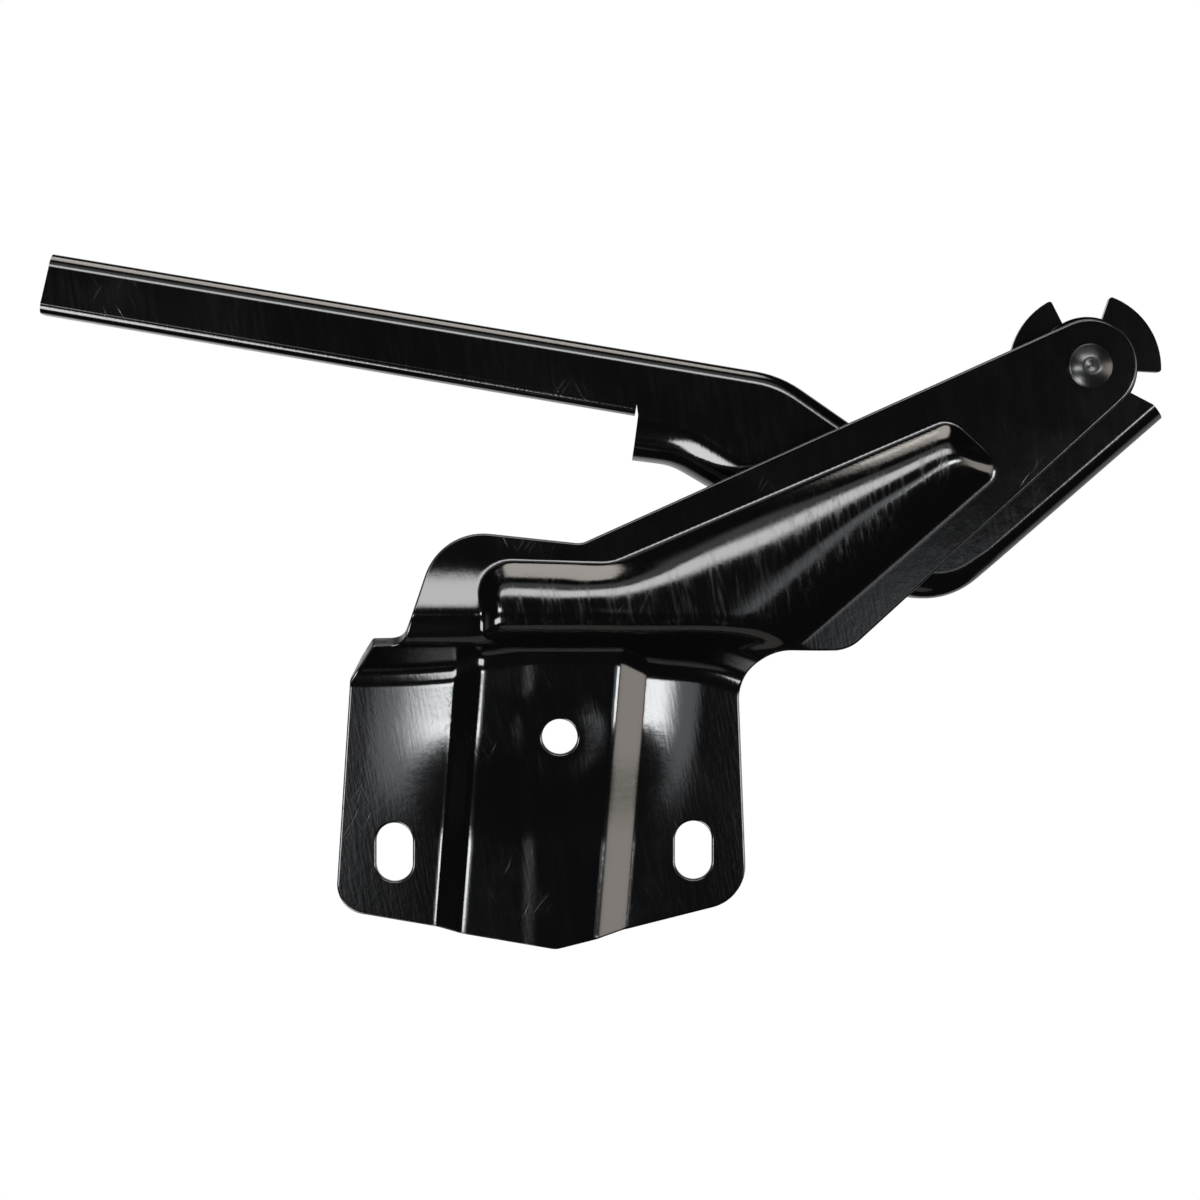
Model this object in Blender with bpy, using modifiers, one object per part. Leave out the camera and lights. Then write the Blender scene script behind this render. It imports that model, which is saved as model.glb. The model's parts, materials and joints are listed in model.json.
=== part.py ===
"""Bonnet hinge of a car: a pressed body bracket and a channel-section bonnet arm on one riveted pivot.

The world is in metres with +X right and +Z up as the hinge is looked at, and +Y away from the viewer.
Sizes are in millimetres and angles in degrees. Outline points are (x, z) measured from the pivot axis,
and depths are y measured back from the front face of the bracket's arm.
"""

import math

import bmesh
import bpy
from mathutils import Vector

MM = 0.001
CLEARANCE = 0.3
ARC_STEP = 9.0
TURNED_SEGMENTS = 48
TRIM_MARGIN = 20.0
CUT_OVERRUN = 6.0

# Pressed sheets
BRACKET_SHEET = 3.0
ARM_SHEET = 2.5
PRESS_PITCH = 2.4

# Bracket arm outline
BRACKET_END_RADIUS = 13.8
BRACKET_TOP_SLOPE = 24.2
BRACKET_LOWER_SLOPE = 42.1
BRACKET_CORNERS = (
    (-70.7, -83.4, 12.0),
    (-102.5, -83.5, 15.0),
    (-99.6, -158.0, 13.0),
    (-156.6, -172.4, 6.0),
    (-222.8, -161.2, 9.0),
    (-218.4, -92.6, 2.0),
    (-210.5, -82.2, 1.5),
    (-201.5, -82.0, 5.0),
    (-190.4, -47.6, 18.0),
    (-149.0, -52.0, 6.0),
)

# Joggle that carries the sheet back from the arm to the mounting plate
JOGGLE_TOP = -70.9
JOGGLE_RADIUS = 10.0
JOGGLE_ANGLE = 60.0
JOGGLE_RUNOUT_POINT = (-104.0, -72.1)
JOGGLE_RUNOUT_NORMAL = -115.0
JOGGLE_BLEND = 5.0
PAD_DEPTH = 17.0

# Raised centre panel between the two mounting pads
PANEL_RISE = 6.5
PANEL_FOOT_RADIUS = 1.5
PANEL_BROW_RADIUS = BRACKET_SHEET + 1.0
PANEL_ANGLE = 45.0
PANEL_LEFT_FOOT = (-187.3, -90.1)
PANEL_LEFT_NORMAL = -4.4
PANEL_RIGHT_FOOT = (-129.2, -89.5)
PANEL_RIGHT_NORMAL = 175.4

# Sweep that draws the panel and the pads beside it forward, full at its top and gone at its foot
SWEEP_RISE = 2.2
SWEEP_LEFT_REACH = 26.0
SWEEP_RIGHT_REACH = 18.0
SWEEP_TOP = -104.0
SWEEP_FOOT = -142.0

# Embossed stiffening rib on the bracket's arm
RIB_RISE = 9.0
RIB_FOOT_RADIUS = 1.5
RIB_BROW_BLEND = 1.0
RIB_END_BLEND = 4.0
RIB_LOWER_BLEND = 5.0
RIB_BOTTOM_BLEND = 2.5
RIB_LEFT_CORNER = 13.0
RIB_END_CORNER = 5.0
RIB_ELBOW = (-140.4, -57.2)
RIB_SHOULDER_NORMAL = -91.9
RIB_TOP_NORMAL = -67.0
RIB_LEFT_POINT = (-181.7, -66.8)
RIB_LEFT_NORMAL = 0.0
RIB_END_POINT = (-31.0, -21.5)
RIB_END_NORMAL = -132.3
RIB_LOWER_POINT = (-50.0, -52.0)
RIB_LOWER_NORMAL = 130.7
RIB_BOTTOM_POINT = (-130.0, -85.0)
RIB_BOTTOM_NORMAL = 90.0

# Stations along the rib: x, slope of its top wall, radius of its crown, and how far the crown reaches in
RIB_STATIONS = (
    (-150.0, 42.0, 15.0, 17.3),
    (-132.0, 35.0, 15.0, 18.6),
    (-98.0, 35.0, 16.0, 19.0),
    (-60.0, 45.0, 60.0, 22.4),
)

# Pressed walls: foot radius, brow radius on the outer side, and slope
BROAD_WALL = (3.0, BRACKET_SHEET + 21.0, 32.0)
BOTTOM_WALL = (6.0, BRACKET_SHEET + 7.0, 45.0)
END_WALL = (5.0, BRACKET_SHEET + 9.0, 45.0)

# Body bolt holes
HOLE_CENTRE = (-155.5, -109.1)
HOLE_DIAMETER = 10.5
DISH_RADIUS = 15.0
DISH_DEPTH = 2.4
SLOT_WIDTH = 11.0
SLOT_LENGTH = 17.5
SLOT_CENTRES = ((-205.1, -144.0), (-115.6, -143.4))

# Bonnet arm outline
ARM_TIP_TOP = (-305.4, 33.9)
ARM_KNEE = (-90.0, -2.0)
ARM_KNEE_RADIUS = 33.0
ARM_TIP_BOTTOM = (-309.0, 16.2)
ARM_STEP = (-135.8, -13.3)
LIP_END = (-133.9, -27.0)
LIP_KNEE = (-122.2, -27.9)
LIP_KNEE_RADIUS = 18.0
GOOSENECK_TOP_ANGLE = -34.8
GOOSENECK_LOWER_ANGLE = -30.3
GOOSENECK_NOTCH_RADIUS = 10.0
GOOSENECK_HEEL_RADIUS = 23.0
NECK_ANGLE = 41.0
NECK_SHOULDER = 7.6
NECK_SHOULDER_ANGLE = -30.0
ARM_END_RADIUS = 14.9

# Bonnet arm flanges: bend radius on the outer side, and depth measured from the web's front face
TOP_BEND = ARM_SHEET + 2.0
TOP_FLANGE = 25.0
NOTCH_FLANGE = 15.0
RIM_BEND = ARM_SHEET + 0.4
RIM_FLANGE = 9.0
NECK_BEND = ARM_SHEET + 2.5
NECK_FLANGE = 18.0
LIP_BEND = ARM_SHEET + 10.0
LIP_FLANGE = 20.0
BEND_ROWS = 5

# Bonnet bolt holes in the arm's top flange, by distance from its tip
BONNET_HOLE_DIAMETER = 9.0
BONNET_HOLE_AT = 38.0
BONNET_SLOT_LENGTH = 15.0
BONNET_SLOT_AT = 128.0

# Pivot
SHANK_RADIUS = 4.25
HEAD_RADIUS = 6.5
HEAD_HEIGHT = 2.6
HEAD_RIM = 0.8
HEAD_DIMPLE_RADIUS = 1.8
HEAD_DIMPLE_DEPTH = 0.5
TAIL_RADIUS = 7.0
TAIL_HEIGHT = 3.0
BUSH_WALL = 1.2
THRUST_WASHER_RADIUS = 11.0
THRUST_WASHER_THICKNESS = 1.2
REAR_WASHER_RADIUS = 9.5
REAR_WASHER_THICKNESS = 1.6
STOP_THICKNESS = 3.0
STOP_RADIUS = 22.5
STOP_TO_OUTER_FLANGE = 1.1
STOP_TO_INNER_FLANGE = 3.3
STOP_HUB_RADIUS = 12.0
STOP_RIGHT_LOBE = (-3.0, 71.0)
STOP_LEFT_LOBE = (117.0, 200.0)
STOP_TIP_RADIUS = 1.4
STOP_ROOT_RADIUS = 3.0
STOP_EDGE_ROUND = 1.2
EDGE_SEGMENTS = 2

# Where the pivot stands in the world: the origin is on the back of the right mounting pad
MOUNT_POINT = (-115.6, -118.0)
PIVOT = Vector((-MOUNT_POINT[0], -(PAD_DEPTH + BRACKET_SHEET), -MOUNT_POINT[1])) * MM

# Derived stack along the pivot, front to back
BORE_RADIUS = SHANK_RADIUS + CLEARANCE
BUSH_RADIUS = BORE_RADIUS + BUSH_WALL
THRUST_WASHER_FRONT = BRACKET_SHEET + CLEARANCE
ARM_FRONT = THRUST_WASHER_FRONT + THRUST_WASHER_THICKNESS + CLEARANCE
STOP_FRONT = ARM_FRONT + ARM_SHEET + CLEARANCE
REAR_WASHER_FRONT = STOP_FRONT + STOP_THICKNESS + CLEARANCE
TAIL_FRONT = REAR_WASHER_FRONT + REAR_WASHER_THICKNESS + CLEARANCE

# Derived neck of the bonnet arm, whose flanges pass outside the stop disc
NECK_OUTER_OFFSET = STOP_RADIUS + STOP_TO_OUTER_FLANGE + ARM_SHEET
NECK_INNER_FACE = ARM_END_RADIUS - ARM_SHEET
NECK_FLANGE_START = math.sqrt((STOP_RADIUS + STOP_TO_INNER_FLANGE) ** 2 - NECK_INNER_FACE**2)

PAINT_BLACK = (0.012, 0.012, 0.013, 1.0)
ZINC_GREY = (0.32, 0.33, 0.34, 1.0)
BRONZE = (0.42, 0.27, 0.12, 1.0)
FACING_VIEWER = (math.radians(90.0), 0.0, 0.0)


def clear_scene():
    for existing in list(bpy.data.objects):
        bpy.data.objects.remove(existing, do_unlink=True)


def new_collection(name):
    collection = bpy.data.collections.new(name)
    bpy.context.scene.collection.children.link(collection)
    return collection


def new_material(name, colour, roughness, metallic):
    material = bpy.data.materials.new(name)
    material.use_nodes = True
    shader = material.node_tree.nodes["Principled BSDF"]
    shader.inputs["Base Color"].default_value = colour
    shader.inputs["Roughness"].default_value = roughness
    shader.inputs["Metallic"].default_value = metallic
    return material


def black_paint(name):
    return new_material(name, PAINT_BLACK, 0.25, 0.0)


def plated_steel(name):
    return new_material(name, ZINC_GREY, 0.35, 1.0)


def sintered_bronze(name):
    return new_material(name, BRONZE, 0.45, 1.0)


def polar(radius, angle):
    """Point at a radius and an angle from the pivot."""
    return Vector((radius * math.cos(math.radians(angle)), radius * math.sin(math.radians(angle))))


def arc(centre, radius, start, end):
    """Points along an arc, both ends included."""
    steps = max(2, math.ceil(abs(end - start) / ARC_STEP))
    return [Vector(centre) + polar(radius, start + (end - start) * k / steps) for k in range(steps + 1)]


def meeting_point(point, angle, other_point, other_angle):
    """Where a line through a point at an angle meets another such line."""
    start, heading = Vector(point), polar(1.0, angle)
    normal = polar(1.0, other_angle + 90.0)
    along = (Vector(other_point) - start).dot(normal) / heading.dot(normal)
    return start + heading * along


def fillet(before, corner, after, radius):
    """Arc that rounds a corner, never longer than the sides next to it allow."""
    back, ahead = before - corner, after - corner
    half_angle = back.angle(ahead) / 2
    tangent = min(radius / math.tan(half_angle), 0.48 * back.length, 0.48 * ahead.length)
    radius = tangent * math.tan(half_angle)
    inward = (back.normalized() + ahead.normalized()).normalized()
    centre = corner + inward * radius / math.sin(half_angle)
    start = corner + back.normalized() * tangent - centre
    end = corner + ahead.normalized() * tangent - centre
    start_angle = math.degrees(math.atan2(start.y, start.x))
    sweep = math.degrees(math.atan2(start.x * end.y - start.y * end.x, start.dot(end)))
    return arc(centre, radius, start_angle, start_angle + sweep)


def rounded_path(corners):
    """Open path through (x, z, fillet radius) corners, with square ends."""
    points = [Vector(corner[:2]) for corner in corners]
    path = [points[0]]
    for index in range(1, len(points) - 1):
        radius = corners[index][2]
        if radius > 0:
            path += fillet(points[index - 1], points[index], points[index + 1], radius)
        else:
            path.append(points[index])
    return path + [points[-1]]


def rounded_loop(corners):
    """Closed outline through (x, z, fillet radius) corners."""
    points = [Vector(corner[:2]) for corner in corners]
    loop = []
    for index, corner in enumerate(corners):
        after = points[(index + 1) % len(points)]
        if corner[2] > 0:
            loop += fillet(points[index - 1], points[index], after, corner[2])
        else:
            loop.append(points[index])
    return loop


def circle(centre, radius):
    return arc(centre, radius, 0.0, 360.0)[:-1]


def slot(centre, width, length):
    """Upright slot with round ends."""
    rise = (length - width) / 2
    x, z = centre
    return arc((x, z + rise), width / 2, 0.0, 180.0) + arc((x, z - rise), width / 2, 180.0, 360.0)


def add_to(collection, name, mesh, material=None):
    """Object at the pivot, so that a moving piece has its origin on the joint axis."""
    part = bpy.data.objects.new(name, mesh)
    part.location = PIVOT
    collection.objects.link(part)
    if material:
        mesh.materials.append(material)
    return part


def mesh_of(part):
    """Mesh of a curve or of a modified object, in its own frame, with doubled points merged."""
    bpy.context.view_layer.update()
    graph = bpy.context.evaluated_depsgraph_get()
    mesh = bpy.data.meshes.new_from_object(part.evaluated_get(graph), depsgraph=graph)
    bm = bmesh.new()
    bm.from_mesh(mesh)
    bmesh.ops.remove_doubles(bm, verts=bm.verts, dist=1e-6)
    bmesh.ops.recalc_face_normals(bm, faces=bm.faces)
    bm.to_mesh(mesh)
    bm.free()
    return mesh


def plate_mesh(name, outline, front, thickness, holes=(), edge_round=0.0):
    """Flat plate cut to an outline in x and z, with its front face at a depth."""
    curve = bpy.data.curves.new(name, "CURVE")
    curve.dimensions = "2D"
    curve.fill_mode = "BOTH"
    curve.extrude = (thickness / 2 - edge_round) * MM
    curve.bevel_depth = edge_round * MM
    curve.bevel_resolution = EDGE_SEGMENTS
    curve.offset = -edge_round * MM
    for loop in (outline, *holes):
        spline = curve.splines.new("POLY")
        spline.points.add(len(loop) - 1)
        spline.use_cyclic_u = True
        for point, place in zip(spline.points, loop):
            point.co = (place[0] * MM, place[1] * MM, 0.0, 1.0)
    sketch = bpy.data.objects.new(name, curve)
    bpy.context.scene.collection.objects.link(sketch)
    mesh = mesh_of(sketch)
    bpy.data.objects.remove(sketch, do_unlink=True)
    for vertex in mesh.vertices:
        x, z, y = vertex.co
        vertex.co = (x, (front + thickness / 2) * MM - y, z)
    return mesh


def cut(part, cutter, operation):
    """Boolean of a part with a hidden cutter."""
    cutter.display_type = "WIRE"
    cutter.hide_render = True
    modifier = part.modifiers.new(cutter.name, "BOOLEAN")
    modifier.operation = operation
    modifier.solver = "EXACT"
    modifier.object = cutter


def shade_round(part):
    mesh = part.data
    mesh.shade_smooth()
    mesh.set_sharp_from_angle(angle=math.radians(30.0))


def turned(collection, name, profile, closed, material):
    """Round piece turned about the pivot axis from (radius, height towards the viewer) points."""
    mesh = bpy.data.meshes.new(name)
    bm = bmesh.new()
    ring = [bm.verts.new((radius * MM, 0.0, height * MM)) for radius, height in profile]
    for first, second in zip(ring, ring[1:]):
        bm.edges.new((first, second))
    if closed:
        bm.edges.new((ring[-1], ring[0]))
    bm.to_mesh(mesh)
    bm.free()
    part = add_to(collection, name, mesh, material)
    part.rotation_euler = FACING_VIEWER
    screw = part.modifiers.new("turn", "SCREW")
    screw.steps = screw.render_steps = TURNED_SEGMENTS
    screw.use_merge_vertices = True
    screw.merge_threshold = 1e-6
    screw.use_smooth_shade = True
    return part


def wall_rise(distance, rise, foot_radius, brow_radius, angle):
    """Height of a pressed wall at a distance inside its foot line: foot arc, straight slope, brow arc."""
    limit = math.acos(max(0.0, 1.0 - rise / (foot_radius + brow_radius)))
    slope = min(math.radians(angle), limit)
    foot_run = foot_radius * math.sin(slope)
    foot_rise = foot_radius * (1 - math.cos(slope))
    brow_run = brow_radius * math.sin(slope)
    straight_rise = rise - foot_rise - brow_radius * (1 - math.cos(slope))
    straight_run = max(0.0, straight_rise) / math.tan(slope)
    total_run = foot_run + straight_run + brow_run
    if distance <= 0:
        return 0.0
    if distance < foot_run:
        return foot_radius - math.sqrt(foot_radius**2 - distance**2)
    if distance < foot_run + straight_run:
        return foot_rise + (distance - foot_run) * math.tan(slope)
    if distance < total_run:
        left = total_run - distance
        return rise - (brow_radius - math.sqrt(brow_radius**2 - left**2))
    return rise


def inside(x, z, point, normal_angle):
    """Distance from a line through a point, counted along its normal."""
    return (Vector((x, z)) - Vector(point)).dot(polar(1.0, normal_angle))


def soft_min(first, second, blend):
    overlap = max(blend - abs(first - second), 0.0)
    return min(first, second) - overlap * overlap / (4 * blend)


def inside_corner(first, second, radius):
    """Distance inside two crossing foot lines whose corner is rounded."""
    if first < radius and second < radius:
        return radius - math.hypot(radius - first, radius - second)
    return min(first, second)


def eased(share):
    """Share from 0 to 1 with both ends levelled."""
    share = min(max(share, 0.0), 1.0)
    return share * share * (3 - 2 * share)


def rib_station(x):
    """Slope of the rib's top wall, crown radius and crown reach at a place along it."""
    for (left, *here), (right, *there) in zip(RIB_STATIONS, RIB_STATIONS[1:]):
        if x < right:
            share = eased((x - left) / (right - left))
            return [first + (second - first) * share for first, second in zip(here, there)]
    return RIB_STATIONS[-1][1:]


def rib_face(steep, top, x):
    """Height of the rib by its steep walls, under a crown that falls off towards its top edge."""
    slope_angle, crown_radius, crown_reach = rib_station(x)
    slope = math.tan(math.radians(slope_angle))
    if steep < RIB_FOOT_RADIUS * slope:
        wall = max(steep, 0.0) ** 2 / (2 * RIB_FOOT_RADIUS)
    else:
        wall = (steep - RIB_FOOT_RADIUS * slope / 2) * slope
    crown = RIB_RISE - max(crown_reach - top, 0.0) ** 2 / (2 * crown_radius)
    return soft_min(wall, crown, RIB_BROW_BLEND)


def rib_rise(x, z):
    """Height of the tapered rib, which stands towards the viewer."""
    top = max(inside(x, z, RIB_ELBOW, RIB_SHOULDER_NORMAL), inside(x, z, RIB_ELBOW, RIB_TOP_NORMAL))
    left = inside(x, z, RIB_LEFT_POINT, RIB_LEFT_NORMAL)
    end = inside(x, z, RIB_END_POINT, RIB_END_NORMAL)
    lower = inside(x, z, RIB_LOWER_POINT, RIB_LOWER_NORMAL)
    bottom = inside(x, z, RIB_BOTTOM_POINT, RIB_BOTTOM_NORMAL)
    steep = inside_corner(inside_corner(top, left, RIB_LEFT_CORNER), end, RIB_END_CORNER)
    height = soft_min(rib_face(steep, top, x), wall_rise(end, RIB_RISE, *END_WALL), RIB_END_BLEND)
    height = soft_min(height, wall_rise(lower, RIB_RISE, *BROAD_WALL), RIB_LOWER_BLEND)
    height = soft_min(height, wall_rise(bottom, RIB_RISE, *BOTTOM_WALL), RIB_BOTTOM_BLEND)
    return max(height, 0.0)


def panel_rise(x, z):
    """Height of the centre panel over the pads."""
    wall = (PANEL_RISE, PANEL_FOOT_RADIUS, PANEL_BROW_RADIUS, PANEL_ANGLE)
    left = wall_rise(inside(x, z, PANEL_LEFT_FOOT, PANEL_LEFT_NORMAL), *wall)
    right = wall_rise(inside(x, z, PANEL_RIGHT_FOOT, PANEL_RIGHT_NORMAL), *wall)
    return min(left, right)


def sweep_rise(x, z):
    """How far the panel's top and the pads beside it are drawn forward."""
    left = inside(x, z, PANEL_LEFT_FOOT, PANEL_LEFT_NORMAL) / SWEEP_LEFT_REACH
    right = inside(x, z, PANEL_RIGHT_FOOT, PANEL_RIGHT_NORMAL) / SWEEP_RIGHT_REACH
    near = min(max(1 + min(left, right), 0.0), 1.0)
    return SWEEP_RISE * near * near * eased((z - SWEEP_FOOT) / (SWEEP_TOP - SWEEP_FOOT))


def bracket_depth(x, z):
    """Depth of the bracket's front face."""
    runout = inside(x, z, JOGGLE_RUNOUT_POINT, JOGGLE_RUNOUT_NORMAL)
    below = soft_min(JOGGLE_TOP - z, runout, JOGGLE_BLEND)
    drop = PAD_DEPTH - panel_rise(x, z) - sweep_rise(x, z)
    joggle = wall_rise(below, drop, JOGGLE_RADIUS, JOGGLE_RADIUS, JOGGLE_ANGLE)
    from_hole = (Vector((x, z)) - Vector(HOLE_CENTRE)).length
    dish = DISH_DEPTH * max(1 - from_hole / DISH_RADIUS, 0.0) ** 2
    return joggle + dish - rib_rise(x, z)


def bracket_outline():
    """Outline of the bracket, clockwise from the round end of its arm."""
    end = arc((0.0, 0.0), BRACKET_END_RADIUS, 90.0 + BRACKET_TOP_SLOPE, BRACKET_LOWER_SLOPE - 90.0)
    corners = [(*end[-1], 0.0), *BRACKET_CORNERS, (*end[0], 0.0)]
    return end[:-1] + rounded_path(corners)[:-1]


def pressed_sheet(name, outline):
    """Sheet over an outline's whole extent, pressed to the bracket's depths."""
    xs = [point[0] for point in outline]
    zs = [point[1] for point in outline]
    left, right = min(xs) - PRESS_PITCH, max(xs) + PRESS_PITCH
    bottom, top = min(zs) - PRESS_PITCH, max(zs) + PRESS_PITCH
    columns = math.ceil((right - left) / PRESS_PITCH)
    rows = math.ceil((top - bottom) / PRESS_PITCH)
    bm = bmesh.new()
    bmesh.ops.create_grid(bm, x_segments=columns, y_segments=rows, size=1.0)
    for vertex in bm.verts:
        x = left + (right - left) * (vertex.co.x + 1) / 2
        z = bottom + (top - bottom) * (vertex.co.y + 1) / 2
        vertex.co = Vector((x, bracket_depth(x, z), z)) * MM
    mesh = bpy.data.meshes.new(name)
    bm.to_mesh(mesh)
    bm.free()
    return mesh


def thicken(part, thickness):
    """Gives a surface that faces outwards its sheet thickness on the inner side."""
    shell = part.modifiers.new("sheet", "SOLIDIFY")
    shell.thickness = thickness * MM
    shell.offset = -1.0
    shell.use_even_offset = True
    shell.use_quality_normals = True


def build_body_bracket(parts, cutters):
    outline = bracket_outline()
    sheet = add_to(parts, "body_bracket", pressed_sheet("body_bracket", outline), black_paint("bracket_paint"))
    thicken(sheet, BRACKET_SHEET)
    holes = [circle(HOLE_CENTRE, HOLE_DIAMETER / 2), circle((0.0, 0.0), BORE_RADIUS)]
    holes += [slot(centre, SLOT_WIDTH, SLOT_LENGTH) for centre in SLOT_CENTRES]
    reach = 2 * TRIM_MARGIN + PAD_DEPTH + BRACKET_SHEET
    blank = plate_mesh("bracket_blank", outline, -TRIM_MARGIN, reach, holes)
    cut(sheet, add_to(cutters, "bracket_blank", blank), "INTERSECT")
    return sheet


def path_normals(path, side):
    """Unit normals of an open path, on its left (side 1) or right (side -1)."""
    normals = []
    for index in range(len(path)):
        before = path[max(index - 1, 0)]
        after = path[min(index + 1, len(path) - 1)]
        heading = (after - before).normalized()
        normals.append(Vector((-heading.y, heading.x)) * side)
    return normals


def along(path, values):
    """Values given at fractions of a path's length, worked out for each of its points."""
    lengths = [0.0]
    for first, second in zip(path, path[1:]):
        lengths.append(lengths[-1] + (second - first).length)
    result = []
    for length in lengths:
        share = length / lengths[-1]
        after = next(k for k in range(1, len(values)) if share <= values[k][0] + 1e-9)
        (low, start), (high, end) = values[after - 1], values[after]
        result.append(start + (end - start) * (share - low) / (high - low))
    return result


def flange_run(bm, path, side, bends, depths):
    """Adds a flange whose outer face follows a path, and returns the points where its bend leaves the web."""
    normals = path_normals(path, side)
    rows = []
    for row in range(BEND_ROWS + 1):
        turn = math.radians(90.0 * row / BEND_ROWS)
        ring = []
        for point, normal, bend in zip(path, normals, bends):
            place = point - normal * bend * (1 - math.sin(turn))
            depth = ARM_FRONT + bend * (1 - math.cos(turn))
            ring.append(bm.verts.new(Vector((place.x, depth, place.y)) * MM))
        rows.append(ring)
    edge = []
    for point, bend, depth in zip(path, bends, depths):
        far = ARM_FRONT + max(depth, bend + CLEARANCE)
        edge.append(bm.verts.new(Vector((point.x, far, point.y)) * MM))
    rows.append(edge)
    for upper, lower in zip(rows, rows[1:]):
        for index in range(len(path) - 1):
            bm.faces.new((upper[index], lower[index], lower[index + 1], upper[index + 1]))
    return rows[0]


def arm_runs():
    """Paths of the arm's flanges: along its top, round the heel of its gooseneck, and along its lower rim."""
    neck_tangent = polar(ARM_END_RADIUS, NECK_ANGLE + 90.0)
    along_neck = polar(1.0, NECK_ANGLE)
    notch = meeting_point(ARM_KNEE, GOOSENECK_TOP_ANGLE, neck_tangent, NECK_ANGLE)
    outer_foot = polar(NECK_OUTER_OFFSET, NECK_ANGLE - 90.0)
    heel = meeting_point(LIP_KNEE, GOOSENECK_LOWER_ANGLE, outer_foot, NECK_ANGLE)
    top = rounded_path(
        (
            (*ARM_TIP_TOP, 0.0),
            (*ARM_KNEE, ARM_KNEE_RADIUS),
            (*notch, GOOSENECK_NOTCH_RADIUS),
            (*(neck_tangent - along_neck * NECK_FLANGE_START), 0.0),
        )
    )
    lower = rounded_path(
        (
            (*(outer_foot + along_neck * NECK_SHOULDER), 0.0),
            (*heel, GOOSENECK_HEEL_RADIUS),
            (*LIP_KNEE, LIP_KNEE_RADIUS),
            (*LIP_END, 0.0),
        )
    )
    rim = rounded_path(((*ARM_STEP, 0.0), (*ARM_TIP_BOTTOM, 0.0)))
    return top, lower, rim


def arm_surface():
    """Outer surface of the bonnet arm: a flat web and the flanges bent back from its edges."""
    top, lower, rim = arm_runs()
    bm = bmesh.new()
    top_edge = flange_run(
        bm,
        top,
        1,
        [TOP_BEND] * len(top),
        along(top, ((0.0, TOP_FLANGE), (0.7, TOP_FLANGE), (0.85, NOTCH_FLANGE), (1.0, NOTCH_FLANGE))),
    )
    lower_edge = flange_run(
        bm,
        lower,
        1,
        along(lower, ((0.0, NECK_BEND), (0.6, NECK_BEND), (0.85, LIP_BEND), (1.0, LIP_BEND))),
        along(lower, ((0.0, NECK_FLANGE), (0.6, NECK_FLANGE), (1.0, LIP_FLANGE))),
    )
    rim_edge = flange_run(bm, rim, 1, [RIM_BEND] * len(rim), [RIM_FLANGE] * len(rim))
    end = arc((0.0, 0.0), ARM_END_RADIUS, NECK_ANGLE + 90.0, NECK_SHOULDER_ANGLE)
    round_end = [bm.verts.new(Vector((point.x, ARM_FRONT, point.y)) * MM) for point in end]
    bm.faces.new(top_edge + round_end + lower_edge + rim_edge)
    bmesh.ops.recalc_face_normals(bm, faces=bm.faces)
    web = max(bm.faces, key=lambda face: face.calc_area())
    if web.normal.y > 0:
        bmesh.ops.reverse_faces(bm, faces=bm.faces)
    mesh = bpy.data.meshes.new("hood_arm")
    bm.to_mesh(mesh)
    bm.free()
    return mesh


def flange_hole(cutters, name, distance, length):
    """Cutter for a round or slotted hole in the arm's top flange, at a distance from the tip."""
    heading = (Vector(ARM_KNEE) - Vector(ARM_TIP_TOP)).normalized()
    centre = Vector(ARM_TIP_TOP) + heading * distance
    rise = max(length - BONNET_HOLE_DIAMETER, 0.0) / 2
    radius = BONNET_HOLE_DIAMETER / 2
    outline = arc((0.0, rise), radius, 0.0, 180.0) + arc((0.0, -rise), radius, 180.0, 360.0)
    mesh = plate_mesh(name, outline[:-1] if rise == 0 else outline, -CUT_OVERRUN, 2 * CUT_OVERRUN)
    cutter = add_to(cutters, name, mesh)
    depth = ARM_FRONT + (TOP_BEND + TOP_FLANGE) / 2
    cutter.location = PIVOT + Vector((centre.x, depth, centre.y)) * MM
    slope = math.atan2(heading.y, heading.x)
    cutter.rotation_euler = (math.radians(90.0), -slope, math.radians(90.0))
    return cutter


def build_hood_arm(parts, cutters):
    arm = add_to(parts, "hood_arm", arm_surface(), black_paint("arm_paint"))
    thicken(arm, ARM_SHEET)
    bore = plate_mesh(
        "arm_bore", circle((0.0, 0.0), BUSH_RADIUS + CLEARANCE), ARM_FRONT - CUT_OVERRUN, 2 * CUT_OVERRUN
    )
    cut(arm, add_to(cutters, "arm_bore", bore), "DIFFERENCE")
    cut(arm, flange_hole(cutters, "bonnet_hole", BONNET_HOLE_AT, BONNET_HOLE_DIAMETER), "DIFFERENCE")
    cut(arm, flange_hole(cutters, "bonnet_slot", BONNET_SLOT_AT, BONNET_SLOT_LENGTH), "DIFFERENCE")
    return arm


def dome(radius, rim, height, base, dimple_radius, dimple_depth):
    """Profile of a low rivet head from its centre out to its rim, with a dimple left by the die."""
    rise = height - rim
    sphere = (radius**2 + rise**2) / (2 * rise)
    points = [(0.0, base + height - dimple_depth), (dimple_radius / 2, base + height - dimple_depth)]
    steps = 6
    for k in range(steps + 1):
        r = dimple_radius + (radius - dimple_radius) * k / steps
        points.append((r, base + rim + rise - sphere + math.sqrt(sphere**2 - r**2)))
    return points


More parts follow.
